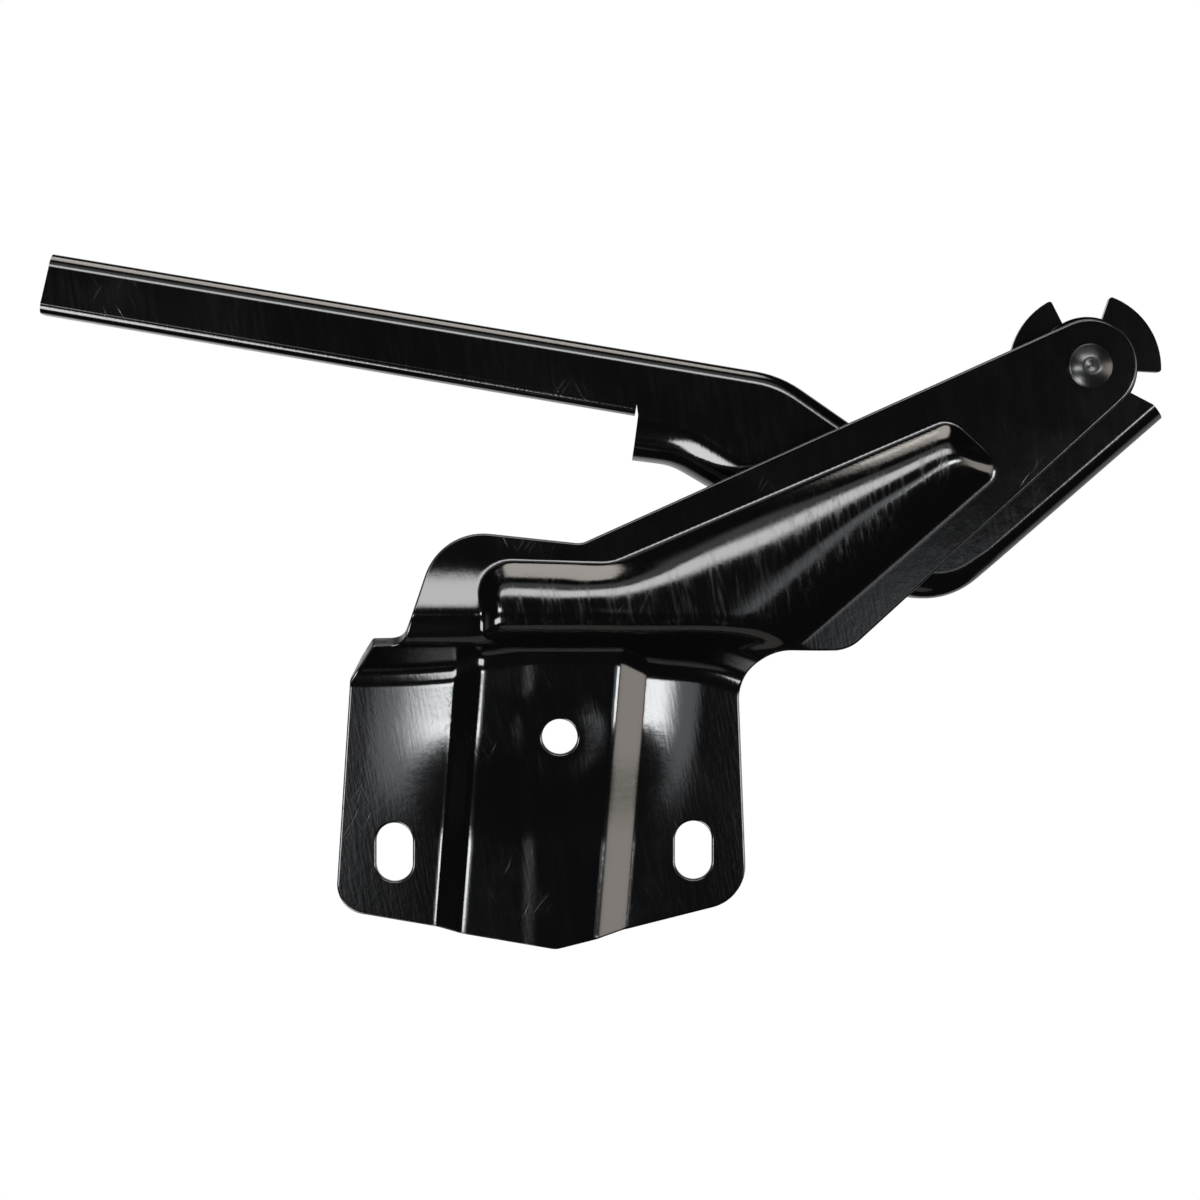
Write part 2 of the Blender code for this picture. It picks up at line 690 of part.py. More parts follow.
def build_pivot_rivet(parts):
    """Rivet with a dimpled head in front and an upset tail behind."""
    profile = dome(HEAD_RADIUS, HEAD_RIM, HEAD_HEIGHT, CLEARANCE, HEAD_DIMPLE_RADIUS, HEAD_DIMPLE_DEPTH)
    profile += [(HEAD_RADIUS, CLEARANCE), (SHANK_RADIUS, CLEARANCE)]
    tail = dome(TAIL_RADIUS, HEAD_RIM, TAIL_HEIGHT, TAIL_FRONT, HEAD_DIMPLE_RADIUS, HEAD_DIMPLE_DEPTH)
    profile += [(SHANK_RADIUS, -TAIL_FRONT), (TAIL_RADIUS, -TAIL_FRONT)]
    profile += [(radius, -height) for radius, height in reversed(tail)]
    return turned(parts, "pivot_rivet", profile, False, black_paint("rivet_paint"))


def ring_profile(inner, outer, front, thickness):
    """Square section of a ring, from its front face back."""
    return [(inner, -front), (outer, -front), (outer, -front - thickness), (inner, -front - thickness)]


def build_pivot_bush(parts):
    profile = ring_profile(BORE_RADIUS, BUSH_RADIUS, ARM_FRONT, ARM_SHEET)
    return turned(parts, "pivot_bush", profile, True, sintered_bronze("bush_bronze"))


def build_thrust_washer(parts):
    profile = ring_profile(BORE_RADIUS, THRUST_WASHER_RADIUS, THRUST_WASHER_FRONT, THRUST_WASHER_THICKNESS)
    return turned(parts, "thrust_washer", profile, True, plated_steel("thrust_washer_steel"))


def build_rear_washer(parts):
    profile = ring_profile(BORE_RADIUS, REAR_WASHER_RADIUS, REAR_WASHER_FRONT, REAR_WASHER_THICKNESS)
    return turned(parts, "rear_washer", profile, True, plated_steel("rear_washer_steel"))


def lobe_corners(start, end):
    """Corners of one lobe of the stop disc, counter-clockwise."""
    rim = arc((0.0, 0.0), STOP_RADIUS, start, end)
    return [
        (*polar(STOP_HUB_RADIUS, start), STOP_ROOT_RADIUS),
        (*rim[0], STOP_TIP_RADIUS),
        *((*point, 0.0) for point in rim[1:-1]),
        (*rim[-1], STOP_TIP_RADIUS),
        (*polar(STOP_HUB_RADIUS, end), STOP_ROOT_RADIUS),
    ]


def hub_corners(start, end):
    """Corners of the stop disc's hub between two lobes."""
    return [(*point, 0.0) for point in arc((0.0, 0.0), STOP_HUB_RADIUS, start, end)[1:-1]]


def build_stop_disc(parts):
    """Two-lobed stop plate behind the arm, staked to the rivet."""
    right_start, right_end = STOP_RIGHT_LOBE
    left_start, left_end = STOP_LEFT_LOBE
    corners = lobe_corners(right_start, right_end) + hub_corners(right_end, left_start)
    corners += lobe_corners(left_start, left_end) + hub_corners(left_end, right_start + 360.0)
    outline = rounded_loop(corners)
    bore = circle((0.0, 0.0), BORE_RADIUS + STOP_EDGE_ROUND)
    mesh = plate_mesh("stop_disc", outline, STOP_FRONT, STOP_THICKNESS, [bore], STOP_EDGE_ROUND)
    return add_to(parts, "stop_disc", mesh, black_paint("stop_paint"))


def main():
    clear_scene()
    parts = new_collection("bonnet_hinge")
    cutters = new_collection("cutters")
    cutters.hide_render = True
    build_body_bracket(parts, cutters)
    arm = build_hood_arm(parts, cutters)
    build_pivot_rivet(parts)
    build_pivot_bush(parts)
    build_thrust_washer(parts)
    disc = build_stop_disc(parts)
    build_rear_washer(parts)
    shade_round(arm)
    shade_round(disc)


main()
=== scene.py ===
"""Studio picture of a car's bonnet hinge: a pressed body bracket, a flanged bonnet arm and the pivot.

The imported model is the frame. Every piece is modelled over the node it stands for, in the row frame. Its
sizes are in millimetres from the pivot axis: x to the right, z up, and depth back from the front face of
the bracket's arm. Angles are in degrees.
"""

from __future__ import annotations

import json
import logging
import math
from dataclasses import dataclass
from enum import Enum

import bpy
import numpy as np
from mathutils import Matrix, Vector, kdtree


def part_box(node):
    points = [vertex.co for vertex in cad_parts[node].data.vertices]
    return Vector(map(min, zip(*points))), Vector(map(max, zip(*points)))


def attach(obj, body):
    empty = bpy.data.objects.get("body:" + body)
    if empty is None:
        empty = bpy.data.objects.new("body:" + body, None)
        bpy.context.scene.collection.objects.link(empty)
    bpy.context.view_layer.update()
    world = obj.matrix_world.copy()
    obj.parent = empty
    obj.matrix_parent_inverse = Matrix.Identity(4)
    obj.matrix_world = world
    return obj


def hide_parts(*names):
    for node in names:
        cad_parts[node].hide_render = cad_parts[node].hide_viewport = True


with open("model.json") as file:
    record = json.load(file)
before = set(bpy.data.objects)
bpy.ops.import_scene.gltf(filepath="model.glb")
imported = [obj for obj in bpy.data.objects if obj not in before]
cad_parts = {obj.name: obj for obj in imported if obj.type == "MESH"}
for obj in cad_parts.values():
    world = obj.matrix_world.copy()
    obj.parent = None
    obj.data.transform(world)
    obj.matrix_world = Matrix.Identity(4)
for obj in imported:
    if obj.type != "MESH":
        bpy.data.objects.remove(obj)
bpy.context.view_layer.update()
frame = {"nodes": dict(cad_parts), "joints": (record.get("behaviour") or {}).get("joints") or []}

LOG = logging.getLogger("bonnet_hinge")

MM = 0.001
CLEARANCE = 0.3
BRACKET_SHEET = 3.0
ARM_SHEET = 2.5
PAD_DEPTH = 17.0
ARC_STEP = 5.0
JOINT_POINT = frame["joints"][0]["pos_m"]
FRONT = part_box("body_bracket")[1].y - (PAD_DEPTH + BRACKET_SHEET) * MM
PIVOT = Vector((JOINT_POINT[0], FRONT, JOINT_POINT[2]))

# Stack along the pivot, front to back
SHANK_RADIUS = 4.25
BORE_RADIUS = SHANK_RADIUS + CLEARANCE
BUSH_RADIUS = BORE_RADIUS + 1.2
THRUST_WASHER_THICKNESS = 1.2
STOP_THICKNESS = 3.0
REAR_WASHER_THICKNESS = 1.6
THRUST_WASHER_FRONT = BRACKET_SHEET + CLEARANCE
ARM_FRONT = THRUST_WASHER_FRONT + THRUST_WASHER_THICKNESS + CLEARANCE
STOP_FRONT = ARM_FRONT + ARM_SHEET + CLEARANCE
REAR_WASHER_FRONT = STOP_FRONT + STOP_THICKNESS + CLEARANCE
TAIL_FRONT = REAR_WASHER_FRONT + REAR_WASHER_THICKNESS + CLEARANCE
STOP_RADIUS = 22.5
ARM_END_RADIUS = 14.9

CENTRE = np.zeros(2)

# Making the pieces
ROUND_STEPS = 96
ROLL_FACETS = 3
WELD = 1e-6
PUNCH_REACH = 6.0

# Light colours
WHITE = (1.0, 1.0, 1.0)
PALE_WARM = (1.0, 0.95, 0.88)
WARM = (1.0, 0.93, 0.86)
DEEP_WARM = (1.0, 0.92, 0.84)
PALE_COOL = (0.97, 0.99, 1.0)
COOL = (0.95, 0.98, 1.0)
DEEP_COOL = (0.92, 0.96, 1.0)

Path = np.ndarray
Pair = tuple[float, float]
Triple = tuple[float, float, float]
Piece = bpy.types.Object
Socket = bpy.types.NodeSocket


class Body(Enum):
    """The two bodies of the hinge."""

    BRACKET = "bracket"
    ARM = "arm"


def polar(radius: float, angle: float) -> Path:
    """Return the point at a radius and an angle from the pivot."""
    return np.array([radius * math.cos(math.radians(angle)), radius * math.sin(math.radians(angle))])


def arc(centre: Path, radius: float, start: float, end: float) -> Path:
    """Draw an arc.

    Args:
        centre: Its centre (x, z).
        radius: Its radius.
        start: The angle it starts at.
        end: The angle it ends at.

    Returns:
        Its points, both ends included.
    """
    steps = max(2, math.ceil(abs(end - start) / ARC_STEP))
    turns = np.radians(np.linspace(start, end, steps + 1))
    return np.asarray(centre) + radius * np.column_stack([np.cos(turns), np.sin(turns)])


def circle(centre: Path, radius: float) -> Path:
    """Return the points of a full circle."""
    return arc(centre, radius, 0.0, 360.0)[:-1]


def slot(centre: Path, width: float, length: float) -> Path:
    """Draw an upright slot with round ends.

    Args:
        centre: Its centre (x, z).
        width: Its width.
        length: Its length over the round ends.

    Returns:
        Its closed outline.
    """
    rise = np.array([0.0, (length - width) / 2])
    upper = arc(np.asarray(centre) + rise, width / 2, 0.0, 180.0)
    return np.vstack([upper, arc(np.asarray(centre) - rise, width / 2, 180.0, 360.0)])


def fillet(before: Path, corner: Path, after: Path, radius: float) -> Path:
    """Round a corner, never further than the sides next to it allow.

    Args:
        before: The corner before.
        corner: The corner itself.
        after: The corner after.
        radius: The radius asked for.

    Returns:
        The points of the arc.
    """
    back, ahead = before - corner, after - corner
    back_length, ahead_length = np.linalg.norm(back), np.linalg.norm(ahead)
    back, ahead = back / back_length, ahead / ahead_length
    half = math.acos(float(np.clip(back @ ahead, -1.0, 1.0))) / 2
    tangent = min(radius / math.tan(half), 0.48 * back_length, 0.48 * ahead_length)
    radius = tangent * math.tan(half)
    inward = (back + ahead) / np.linalg.norm(back + ahead)
    centre = corner + inward * radius / math.sin(half)
    start, end = corner + back * tangent - centre, corner + ahead * tangent - centre
    start_angle = math.degrees(math.atan2(start[1], start[0]))
    sweep = math.degrees(math.atan2(start[0] * end[1] - start[1] * end[0], float(start @ end)))
    return arc(centre, radius, start_angle, start_angle + sweep)


def rounded(corners: list[Triple], closed: bool) -> Path:
    """Draw a path through corners that are each rounded.

    Args:
        corners: The corners (x, z, radius).
        closed: Whether the path comes back to its first corner.

    Returns:
        The points of the path.
    """
    points = [np.array(corner[:2]) for corner in corners]
    drawn = []
    for index, corner in enumerate(corners):
        at_end = not closed and index in (0, len(corners) - 1)
        if corner[2] <= 0 or at_end:
            drawn.append(points[index][None])
        else:
            after = points[(index + 1) % len(points)]
            drawn.append(fillet(points[index - 1], points[index], after, corner[2]))
    return np.vstack(drawn)


def spaced(path: Path, spacing: float, closed: bool) -> Path:
    """Put points along the straight runs of a path.

    Args:
        path: The path.
        spacing: The furthest that two points may be apart.
        closed: Whether the path is a loop.

    Returns:
        The path with the new points between its own.
    """
    ends = np.roll(path, -1, axis=0) if closed else path[1:]
    drawn = []
    for start, end in zip(path, ends):
        pieces = max(1, math.ceil(np.linalg.norm(end - start) / spacing))
        drawn.append(start + (end - start) * (np.arange(pieces) / pieces)[:, None])
    if not closed:
        drawn.append(path[-1:])
    return np.vstack(drawn)


def meeting_point(point: Path, angle: float, other_point: Path, other_angle: float) -> Path:
    """Find where two lines cross.

    Args:
        point: A point of the first line.
        angle: Its angle.
        other_point: A point of the second line.
        other_angle: Its angle.

    Returns:
        The point (x, z) that they share.
    """
    heading, normal = polar(1.0, angle), polar(1.0, other_angle + 90.0)
    reach = (np.asarray(other_point) - np.asarray(point)) @ normal / (heading @ normal)
    return np.asarray(point) + heading * reach


def placed(points: np.ndarray) -> np.ndarray:
    """Turn (x, depth, z) points in millimetres from the pivot into places in the row frame."""
    return np.asarray(PIVOT) + np.asarray(points) * MM


class Bench:
    """The modelling moves that the pieces share, made with Blender's operators as by hand."""

    @staticmethod
    def wires(name: str, loops: list[np.ndarray], closed: bool = True) -> Piece:
        """Draw wires through points in the row frame and make them the selected object.

        Args:
            name: The name of the new object.
            loops: The points of each wire.
            closed: Whether each wire comes back to its start.

        Returns:
            The object.
        """
        points, edges = [], []
        for loop in loops:
            first, count = len(points), len(loop)
            points += [tuple(point) for point in loop]
            edges += [(first + k, first + (k + 1) % count) for k in range(count if closed else count - 1)]
        mesh = bpy.data.meshes.new(name)
        mesh.from_pydata(points, edges, [])
        return Bench.show(name, mesh)

    @staticmethod
    def rows(name: str, rows: list[np.ndarray]) -> Piece:
        """Skin rows of points, as between the ribs of a hull.

        Args:
            name: The name of the new object.
            rows: Rows of as many points each, in the row frame.

        Returns:
            The object, an open skin.
        """
        count = len(rows[0])
        faces = []
        for row in range(len(rows) - 1):
            for first in range(row * count, (row + 1) * count - 1):
                faces.append((first, first + count, first + count + 1, first + 1))
        mesh = bpy.data.meshes.new(name)
        mesh.from_pydata([tuple(point) for point in np.vstack(rows)], [], faces)
        return Bench.show(name, mesh)

    @staticmethod
    def show(name: str, mesh: bpy.types.Mesh) -> Piece:
        """Link a mesh as an object and leave it alone selected."""
        piece = bpy.data.objects.new(name, mesh)
        bpy.context.scene.collection.objects.link(piece)
        Bench.pick(piece)
        return piece

    @staticmethod
    def pick(*pieces: Piece) -> None:
        """Select these objects alone, the first one active."""
        for other in list(bpy.context.selected_objects):
            other.select_set(False)
        for piece in pieces:
            piece.select_set(True)
        bpy.context.view_layer.objects.active = pieces[0]

    @staticmethod
    def edit(all_selected: bool = True) -> None:
        """Go into edit mode on the active object."""
        bpy.ops.object.mode_set(mode="EDIT")
        bpy.ops.mesh.select_all(action="SELECT" if all_selected else "DESELECT")

    @staticmethod
    def done() -> None:
        """Leave edit mode."""
        bpy.ops.object.mode_set(mode="OBJECT")

    @staticmethod
    def face_out() -> None:
        """Turn every face of the edited piece outwards and leave edit mode."""
        bpy.ops.mesh.select_all(action="SELECT")
        bpy.ops.mesh.normals_make_consistent(inside=False)
        Bench.done()

    @staticmethod
    def apply(piece: Piece, modifier: bpy.types.Modifier) -> None:
        """Apply a modifier of a piece."""
        Bench.pick(piece)
        bpy.ops.object.modifier_apply(modifier=modifier.name)

    @staticmethod
    def points(piece: Piece) -> np.ndarray:
        """Return the vertices of a piece as rows of x, y and z."""
        flat = np.zeros(len(piece.data.vertices) * 3)
        piece.data.vertices.foreach_get("co", flat)
        return flat.reshape(-1, 3)

    @staticmethod
    def move_points(piece: Piece, places: np.ndarray) -> None:
        """Put the vertices of a piece at new places."""
        piece.data.vertices.foreach_set("co", places.ravel())
        piece.data.update()

    @staticmethod
    def face_viewer(piece: Piece) -> None:
        """Turn an open sheet so that its largest face looks to the front."""
        largest = max(piece.data.polygons, key=lambda face: face.area)
        if largest.normal.y > 0:
            Bench.pick(piece)
            Bench.edit()
            bpy.ops.mesh.flip_normals()
            Bench.done()

    @staticmethod
    def thicken(piece: Piece, thickness: float) -> None:
        """Give an open sheet its thickness on the back, with the cut edges in the second material slot.

        Args:
            piece: The sheet, facing the viewer.
            thickness: In millimetres.
        """
        for _ in range(2):
            piece.data.materials.append(None)
        shell = piece.modifiers.new("sheet", "SOLIDIFY")
        shell.thickness = thickness * MM
        shell.offset = -1.0
        shell.use_even_offset = True
        shell.use_quality_normals = True
        shell.material_offset_rim = 1
        Bench.apply(piece, shell)

    @staticmethod
    def soften_edges(piece: Piece, width: float, segments: int, angle: float = 50.0) -> None:
        """Roll the sharp edges over.

        Args:
            piece: The piece.
            width: The width of the rolled edge in millimetres.
            segments: The facets across it.
            angle: The least angle of an edge that counts as sharp.
        """
        roll = piece.modifiers.new("rolled edges", "BEVEL")
        roll.width = width * MM
        roll.segments = segments
        roll.limit_method = "ANGLE"
        roll.angle_limit = math.radians(angle)
        roll.loop_slide = False
        Bench.apply(piece, roll)

    @staticmethod
    def bore(piece: Piece, tool: Piece) -> None:
        """Cut a hole with a tool, which is used up."""
        hole = piece.modifiers.new("hole", "BOOLEAN")
        hole.operation = "DIFFERENCE"
        hole.solver = "EXACT"
        hole.object = tool
        Bench.apply(piece, hole)
        bpy.data.objects.remove(tool, do_unlink=True)

    @staticmethod
    def shade(piece: Piece, weighted: bool = False) -> None:
        """Shade a piece smooth, with its flats kept flat if weighted."""
        Bench.pick(piece)
        bpy.ops.object.shade_smooth()
        if weighted:
            flats = piece.modifiers.new("flats", "WEIGHTED_NORMAL")
            flats.mode = "FACE_AREA"
            flats.weight = 100
            Bench.apply(piece, flats)

    @staticmethod
    def spin(name: str, profile: list[Pair], steps: int) -> Piece:
        """Turn a round piece about the pivot axis.

        Args:
            name: The name of the new object.
            profile: (radius, depth) points, a closed section, or an open one with both ends on the axis.
            steps: The facets round it.

        Returns:
            The object.
        """
        section = np.array([(radius, depth, 0.0) for radius, depth in profile])
        on_axis = profile[0][0] == 0.0
        piece = Bench.wires(name, [placed(section)], closed=not on_axis)
        Bench.edit()
        bpy.ops.mesh.spin(steps=steps, angle=math.tau, center=PIVOT, axis=(0.0, 1.0, 0.0))
        bpy.ops.mesh.select_all(action="SELECT")
        bpy.ops.mesh.remove_doubles(threshold=WELD)
        bpy.ops.mesh.normals_make_consistent(inside=False)
        Bench.done()
        return piece

    @staticmethod
    def mark_rim(piece: Piece, reach: float) -> None:
        """Store how near each point is to a cut edge, from 1 on it to 0 at the reach, as the attribute rim.

        Args:
            piece: The piece, with its cut edges in the second material slot.
            reach: In millimetres.
        """
        points = Bench.points(piece)
        edges = [face.vertices for face in piece.data.polygons if face.material_index == 1]
        cut = sorted({index for corners in edges for index in corners})
        tree = kdtree.KDTree(len(cut))
        for index in cut:
            tree.insert(points[index], index)
        tree.balance()
        near = [max(0.0, 1.0 - tree.find(point)[2] / (reach * MM)) for point in points]
        rim = piece.data.attributes.new("rim", "FLOAT", "POINT")
        rim.data.foreach_set("value", near)


def wall_rise(distance: np.ndarray, rise: np.ndarray, foot: float, brow: float, angle: float) -> np.ndarray:
    """Work out the height of a pressed wall inside its foot line.

    Args:
        distance: How far inside the foot line each point is.
        rise: The wall's full height.
        foot: The radius at its foot.
        brow: The radius at its brow.
        angle: The slope of its straight run.

    Returns:
        The height at each point: a foot arc, a straight slope and a brow arc.
    """
    rise = np.broadcast_to(rise, distance.shape)
    slope = np.minimum(math.radians(angle), np.arccos(np.maximum(0.0, 1.0 - rise / (foot + brow))))
    foot_run, foot_rise = foot * np.sin(slope), foot * (1 - np.cos(slope))
    brow_run = brow * np.sin(slope)
    straight_rise = rise - foot_rise - brow * (1 - np.cos(slope))
    straight_run = np.maximum(0.0, straight_rise) / np.maximum(np.tan(slope), 1e-9)
    total = foot_run + straight_run + brow_run
    in_foot = foot - np.sqrt(np.maximum(foot**2 - np.clip(distance, 0.0, foot) ** 2, 0.0))
    in_slope = foot_rise + (distance - foot_run) * np.tan(slope)
    left = np.clip(total - distance, 0.0, brow)
    in_brow = rise - (brow - np.sqrt(brow**2 - left**2))
    above_foot = np.where(distance < foot_run + straight_run, in_slope, in_brow)
    height = np.where(distance < foot_run, in_foot, above_foot)
    return np.where(distance <= 0, 0.0, np.where(distance < total, height, rise))


def inside(x: np.ndarray, z: np.ndarray, point: Pair, normal_angle: float) -> np.ndarray:
    """Return the distance from a line through a point, counted along its normal."""
    normal = polar(1.0, normal_angle)
    return (x - point[0]) * normal[0] + (z - point[1]) * normal[1]


def eased(share: np.ndarray) -> np.ndarray:
    """Level both ends of a share from 0 to 1."""
    share = np.clip(share, 0.0, 1.0)
    return share * share * (3 - 2 * share)


def soft_min(first: np.ndarray, second: np.ndarray, blend: float) -> np.ndarray:
    """Return the lower of two heights, blended where they are close."""
    overlap = np.maximum(blend - np.abs(first - second), 0.0)
    return np.minimum(first, second) - overlap**2 / (4 * blend)


def soft_max(first: np.ndarray, second: np.ndarray, blend: np.ndarray) -> np.ndarray:
    """Return the higher of two values, blended where they are close."""
    overlap = np.maximum(blend - np.abs(first - second), 0.0)
    return np.maximum(first, second) + overlap**2 / (4 * blend)


def inside_corner(first: np.ndarray, second: np.ndarray, radius: float) -> np.ndarray:
    """Return the distance inside two crossing foot lines whose corner is rounded."""
    cornered = radius - np.hypot(radius - first, radius - second)
    return np.where((first < radius) & (second < radius), cornered, np.minimum(first, second))


@dataclass
class BracketPressing:
    """The body bracket: one sheet pressed to a ribbed arm, a joggle, a raised panel and two pads."""

    pitch: float = 0.7
    rim: float = 0.7
    edge_roll: float = 0.5
    end_radius: float = 13.8
    top_slope: float = 24.2
    lower_slope: float = 42.1
    corners: tuple[Triple, ...] = (
        (-70.7, -83.4, 12.0),
        (-102.5, -83.5, 15.0),
        (-99.6, -158.0, 13.0),
        (-156.6, -172.4, 6.0),
        (-222.8, -161.2, 9.0),
        (-218.4, -92.6, 2.0),
        (-210.5, -82.2, 1.5),
        (-201.5, -82.0, 5.0),
        (-190.4, -47.6, 18.0),
        (-149.0, -52.0, 6.0),
    )
    joggle_top: float = -71.6
    joggle_radii: Pair = (12.5, 8.0)
    joggle_angle: float = 60.0
    joggle_runout: Pair = (-104.0, -72.1)
    joggle_runout_normal: float = -115.0
    joggle_blend: float = 5.0
    panel_wall: tuple[float, float, float, float] = (6.5, 1.5, BRACKET_SHEET + 1.0, 40.0)
    panel_left: Pair = (-187.3, -90.1)
    panel_right: Pair = (-129.2, -89.5)
    panel_normals: Pair = (-4.4, 175.4)
    sweep_rise: float = 2.2
    sweep_reaches: Pair = (26.0, 18.0)
    sweep_fade: Pair = (-142.0, -104.0)
    rib_rise: float = 9.0
    swell_rise: float = 3.0
    swell_top: float = -50.0
    swell_brow: float = -71.0
    swell_blend: float = 1.0
    swell_overrun: float = 1.4
    swell_runout: float = 20.0
    swell_merge: float = 0.6
    setback: float = 0.15
    rib_foot: float = 1.5
    rib_brow: float = 1.0
    rib_end_blend: float = 4.0
    rib_lower_blend: float = 5.0
    rib_bottom_blend: float = 2.5
    rib_stations: tuple[float, ...] = (-184.0, -166.0, -150.0, -132.0, -98.0, -60.0)
    rib_rises: tuple[float, ...] = (7.3, 7.3, 7.3, 6.6, 7.0, 7.6)
    rib_walls: tuple[float, ...] = (42.0, 42.0, 42.0, 34.0, 38.0, 44.0)
    rib_crown_radii: tuple[float, ...] = (16.0, 16.0, 16.0, 30.0, 42.0, 22.0)
    rib_crown_reaches: tuple[float, ...] = (15.3, 15.3, 15.3, 18.6, 22.5, 17.0)
    rib_elbow_blend: float = 0.5
    rib_elbow_ease: float = 0.9
    rib_elbow_reach: float = 20.0
    rib_left_corner: float = 13.0
    rib_end_corner: float = 5.0
    rib_elbow: Pair = (-140.4, -57.2)
    rib_shoulder_normal: float = -91.9
    rib_top_normal: float = -67.0
    rib_left: Pair = (-181.7, -66.8)
    rib_end: Pair = (-31.0, -21.5)
    rib_end_normal: float = -132.3
    rib_lower: Pair = (-50.0, -52.0)
    rib_lower_normal: float = 130.7
    rib_bottom: Pair = (-130.0, -85.0)
    broad_wall: Triple = (3.0, BRACKET_SHEET + 21.0, 32.0)
    bottom_wall: Triple = (6.0, BRACKET_SHEET + 7.0, 45.0)
    end_wall: Triple = (5.0, BRACKET_SHEET + 9.0, 45.0)
    dish_floor: float = 5.0
    dish_radius: float = 17.0
    dish_depth: float = 0.5
    hole_centre: Pair = (-155.5, -109.1)
    hole_diameter: float = 10.5
    slot_size: Pair = (11.0, 17.5)
    drawn_heights: Pair = (1.5, 5.5)
    rim_reach: float = 2.0
    slot_centres: tuple[Pair, ...] = ((-205.1, -144.0), (-115.6, -143.4))

    def outline(self) -> Path:
        """Return the bracket's outline, clockwise from the round end of its arm."""
        end = arc(CENTRE, self.end_radius, 90.0 + self.top_slope, self.lower_slope - 90.0)
        corners = [(*end[-1], 0.0), *self.corners, (*end[0], 0.0)]
        return np.vstack([end[:-1], rounded(corners, closed=False)[:-1]])

    def holes(self) -> list[Path]:
        """Return the outlines of the pivot bore, the body hole and the two slots."""
        drawn = [circle(CENTRE, BORE_RADIUS), circle(self.hole_centre, self.hole_diameter / 2)]
        return drawn + [slot(centre, *self.slot_size) for centre in self.slot_centres]

    def at_station(self, x: np.ndarray, values: tuple[float, ...]) -> np.ndarray:
        """Ease between the values at the rib's stations."""
        place = np.interp(x, self.rib_stations, np.arange(len(values)))
        low = np.minimum(np.floor(place).astype(int), len(values) - 2)
        share = eased(place - low)
        return np.asarray(values)[low] * (1 - share) + np.asarray(values)[low + 1] * share

    def rib(self, x: np.ndarray, z: np.ndarray) -> np.ndarray:
        """Return the height of the tapered rib, which stands towards the viewer."""
        shoulder = inside(x, z, self.rib_elbow, self.rib_shoulder_normal)
        top = inside(x, z, self.rib_elbow, self.rib_top_normal)
        ease = np.clip(np.maximum(shoulder, top), 0.0, self.rib_elbow_reach)
        top = soft_max(shoulder, top, self.rib_elbow_blend + self.rib_elbow_ease * ease)
        left = inside(x, z, self.rib_left, 0.0)
        end = inside(x, z, self.rib_end, self.rib_end_normal)
        end_wall = wall_rise(end, self.rib_rise, *self.end_wall)
        steep = inside_corner(inside_corner(top, left, self.rib_left_corner), end, self.rib_end_corner)
        slope = np.tan(np.radians(self.at_station(x, self.rib_walls)))
        wall = np.maximum(steep, 0.0) ** 2 / (2 * self.rib_foot)
        wall = np.where(steep < self.rib_foot * slope, wall, (steep - self.rib_foot * slope / 2) * slope)
        short = np.maximum(self.at_station(x, self.rib_crown_reaches) - top, 0.0)
        fall = short**2 / (2 * self.at_station(x, self.rib_crown_radii))
        crown = self.at_station(x, self.rib_rises) - fall
        height = soft_min(soft_min(wall, crown, self.rib_brow), end_wall, self.rib_end_blend)
        lower = inside(x, z, self.rib_lower, self.rib_lower_normal)
        lower = wall_rise(lower, self.rib_rise, *self.broad_wall)
        bottom = wall_rise(inside(x, z, self.rib_bottom, 90.0), self.rib_rise, *self.bottom_wall)
        height = soft_min(soft_min(height, lower, self.rib_lower_blend), bottom, self.rib_bottom_blend)
        return np.maximum(height, 0.0)

    def swell(self, x: np.ndarray, z: np.ndarray) -> np.ndarray:
        """Return how far the sheet swells forward to its brow beside the rib's left end."""
        share = np.clip((self.swell_top - z) / (self.swell_top - self.swell_brow), 0.0, self.swell_overrun)
        height = soft_min(self.swell_rise * share**2, self.swell_rise, self.swell_blend)
        return height * eased((self.rib_left[0] + self.swell_runout - x) / self.swell_runout)

    def panel(self, x: np.ndarray, z: np.ndarray) -> np.ndarray:
        """Return the height of the centre panel over the pads."""
        left = inside(x, z, self.panel_left, self.panel_normals[0])
        right = inside(x, z, self.panel_right, self.panel_normals[1])
        return np.minimum(wall_rise(left, *self.panel_wall), wall_rise(right, *self.panel_wall))

    def sweep(self, x: np.ndarray, z: np.ndarray) -> np.ndarray:
        """Return how far the panel's top and the pads beside it are drawn forward."""
        left = inside(x, z, self.panel_left, self.panel_normals[0])
        right = inside(x, z, self.panel_right, self.panel_normals[1])
        near = np.minimum(1 + left / self.sweep_reaches[0], 1 + right / self.sweep_reaches[1])
        fade = eased((z - self.sweep_fade[0]) / (self.sweep_fade[1] - self.sweep_fade[0]))
        return self.sweep_rise * np.clip(near, 0.0, 1.0) ** 2 * fade

    def depth(self, x: np.ndarray, z: np.ndarray) -> np.ndarray:
        """Return the depth of the bracket's front face."""
        runout = inside(x, z, self.joggle_runout, self.joggle_runout_normal)
        below = soft_min(self.joggle_top - z, runout, self.joggle_blend)
        drop = PAD_DEPTH - self.panel(x, z) - self.sweep(x, z)
        swell = self.swell(x, z)
        joggle = wall_rise(below, drop + swell, *self.joggle_radii, self.joggle_angle)
        from_hole = np.hypot(x - self.hole_centre[0], z - self.hole_centre[1])
        outward = (from_hole - self.dish_floor) / (self.dish_radius - self.dish_floor)
        dish = self.dish_depth * (1.0 - eased(outward))
        return joggle + dish - soft_max(self.rib(x, z), swell, self.swell_merge) + self.setback

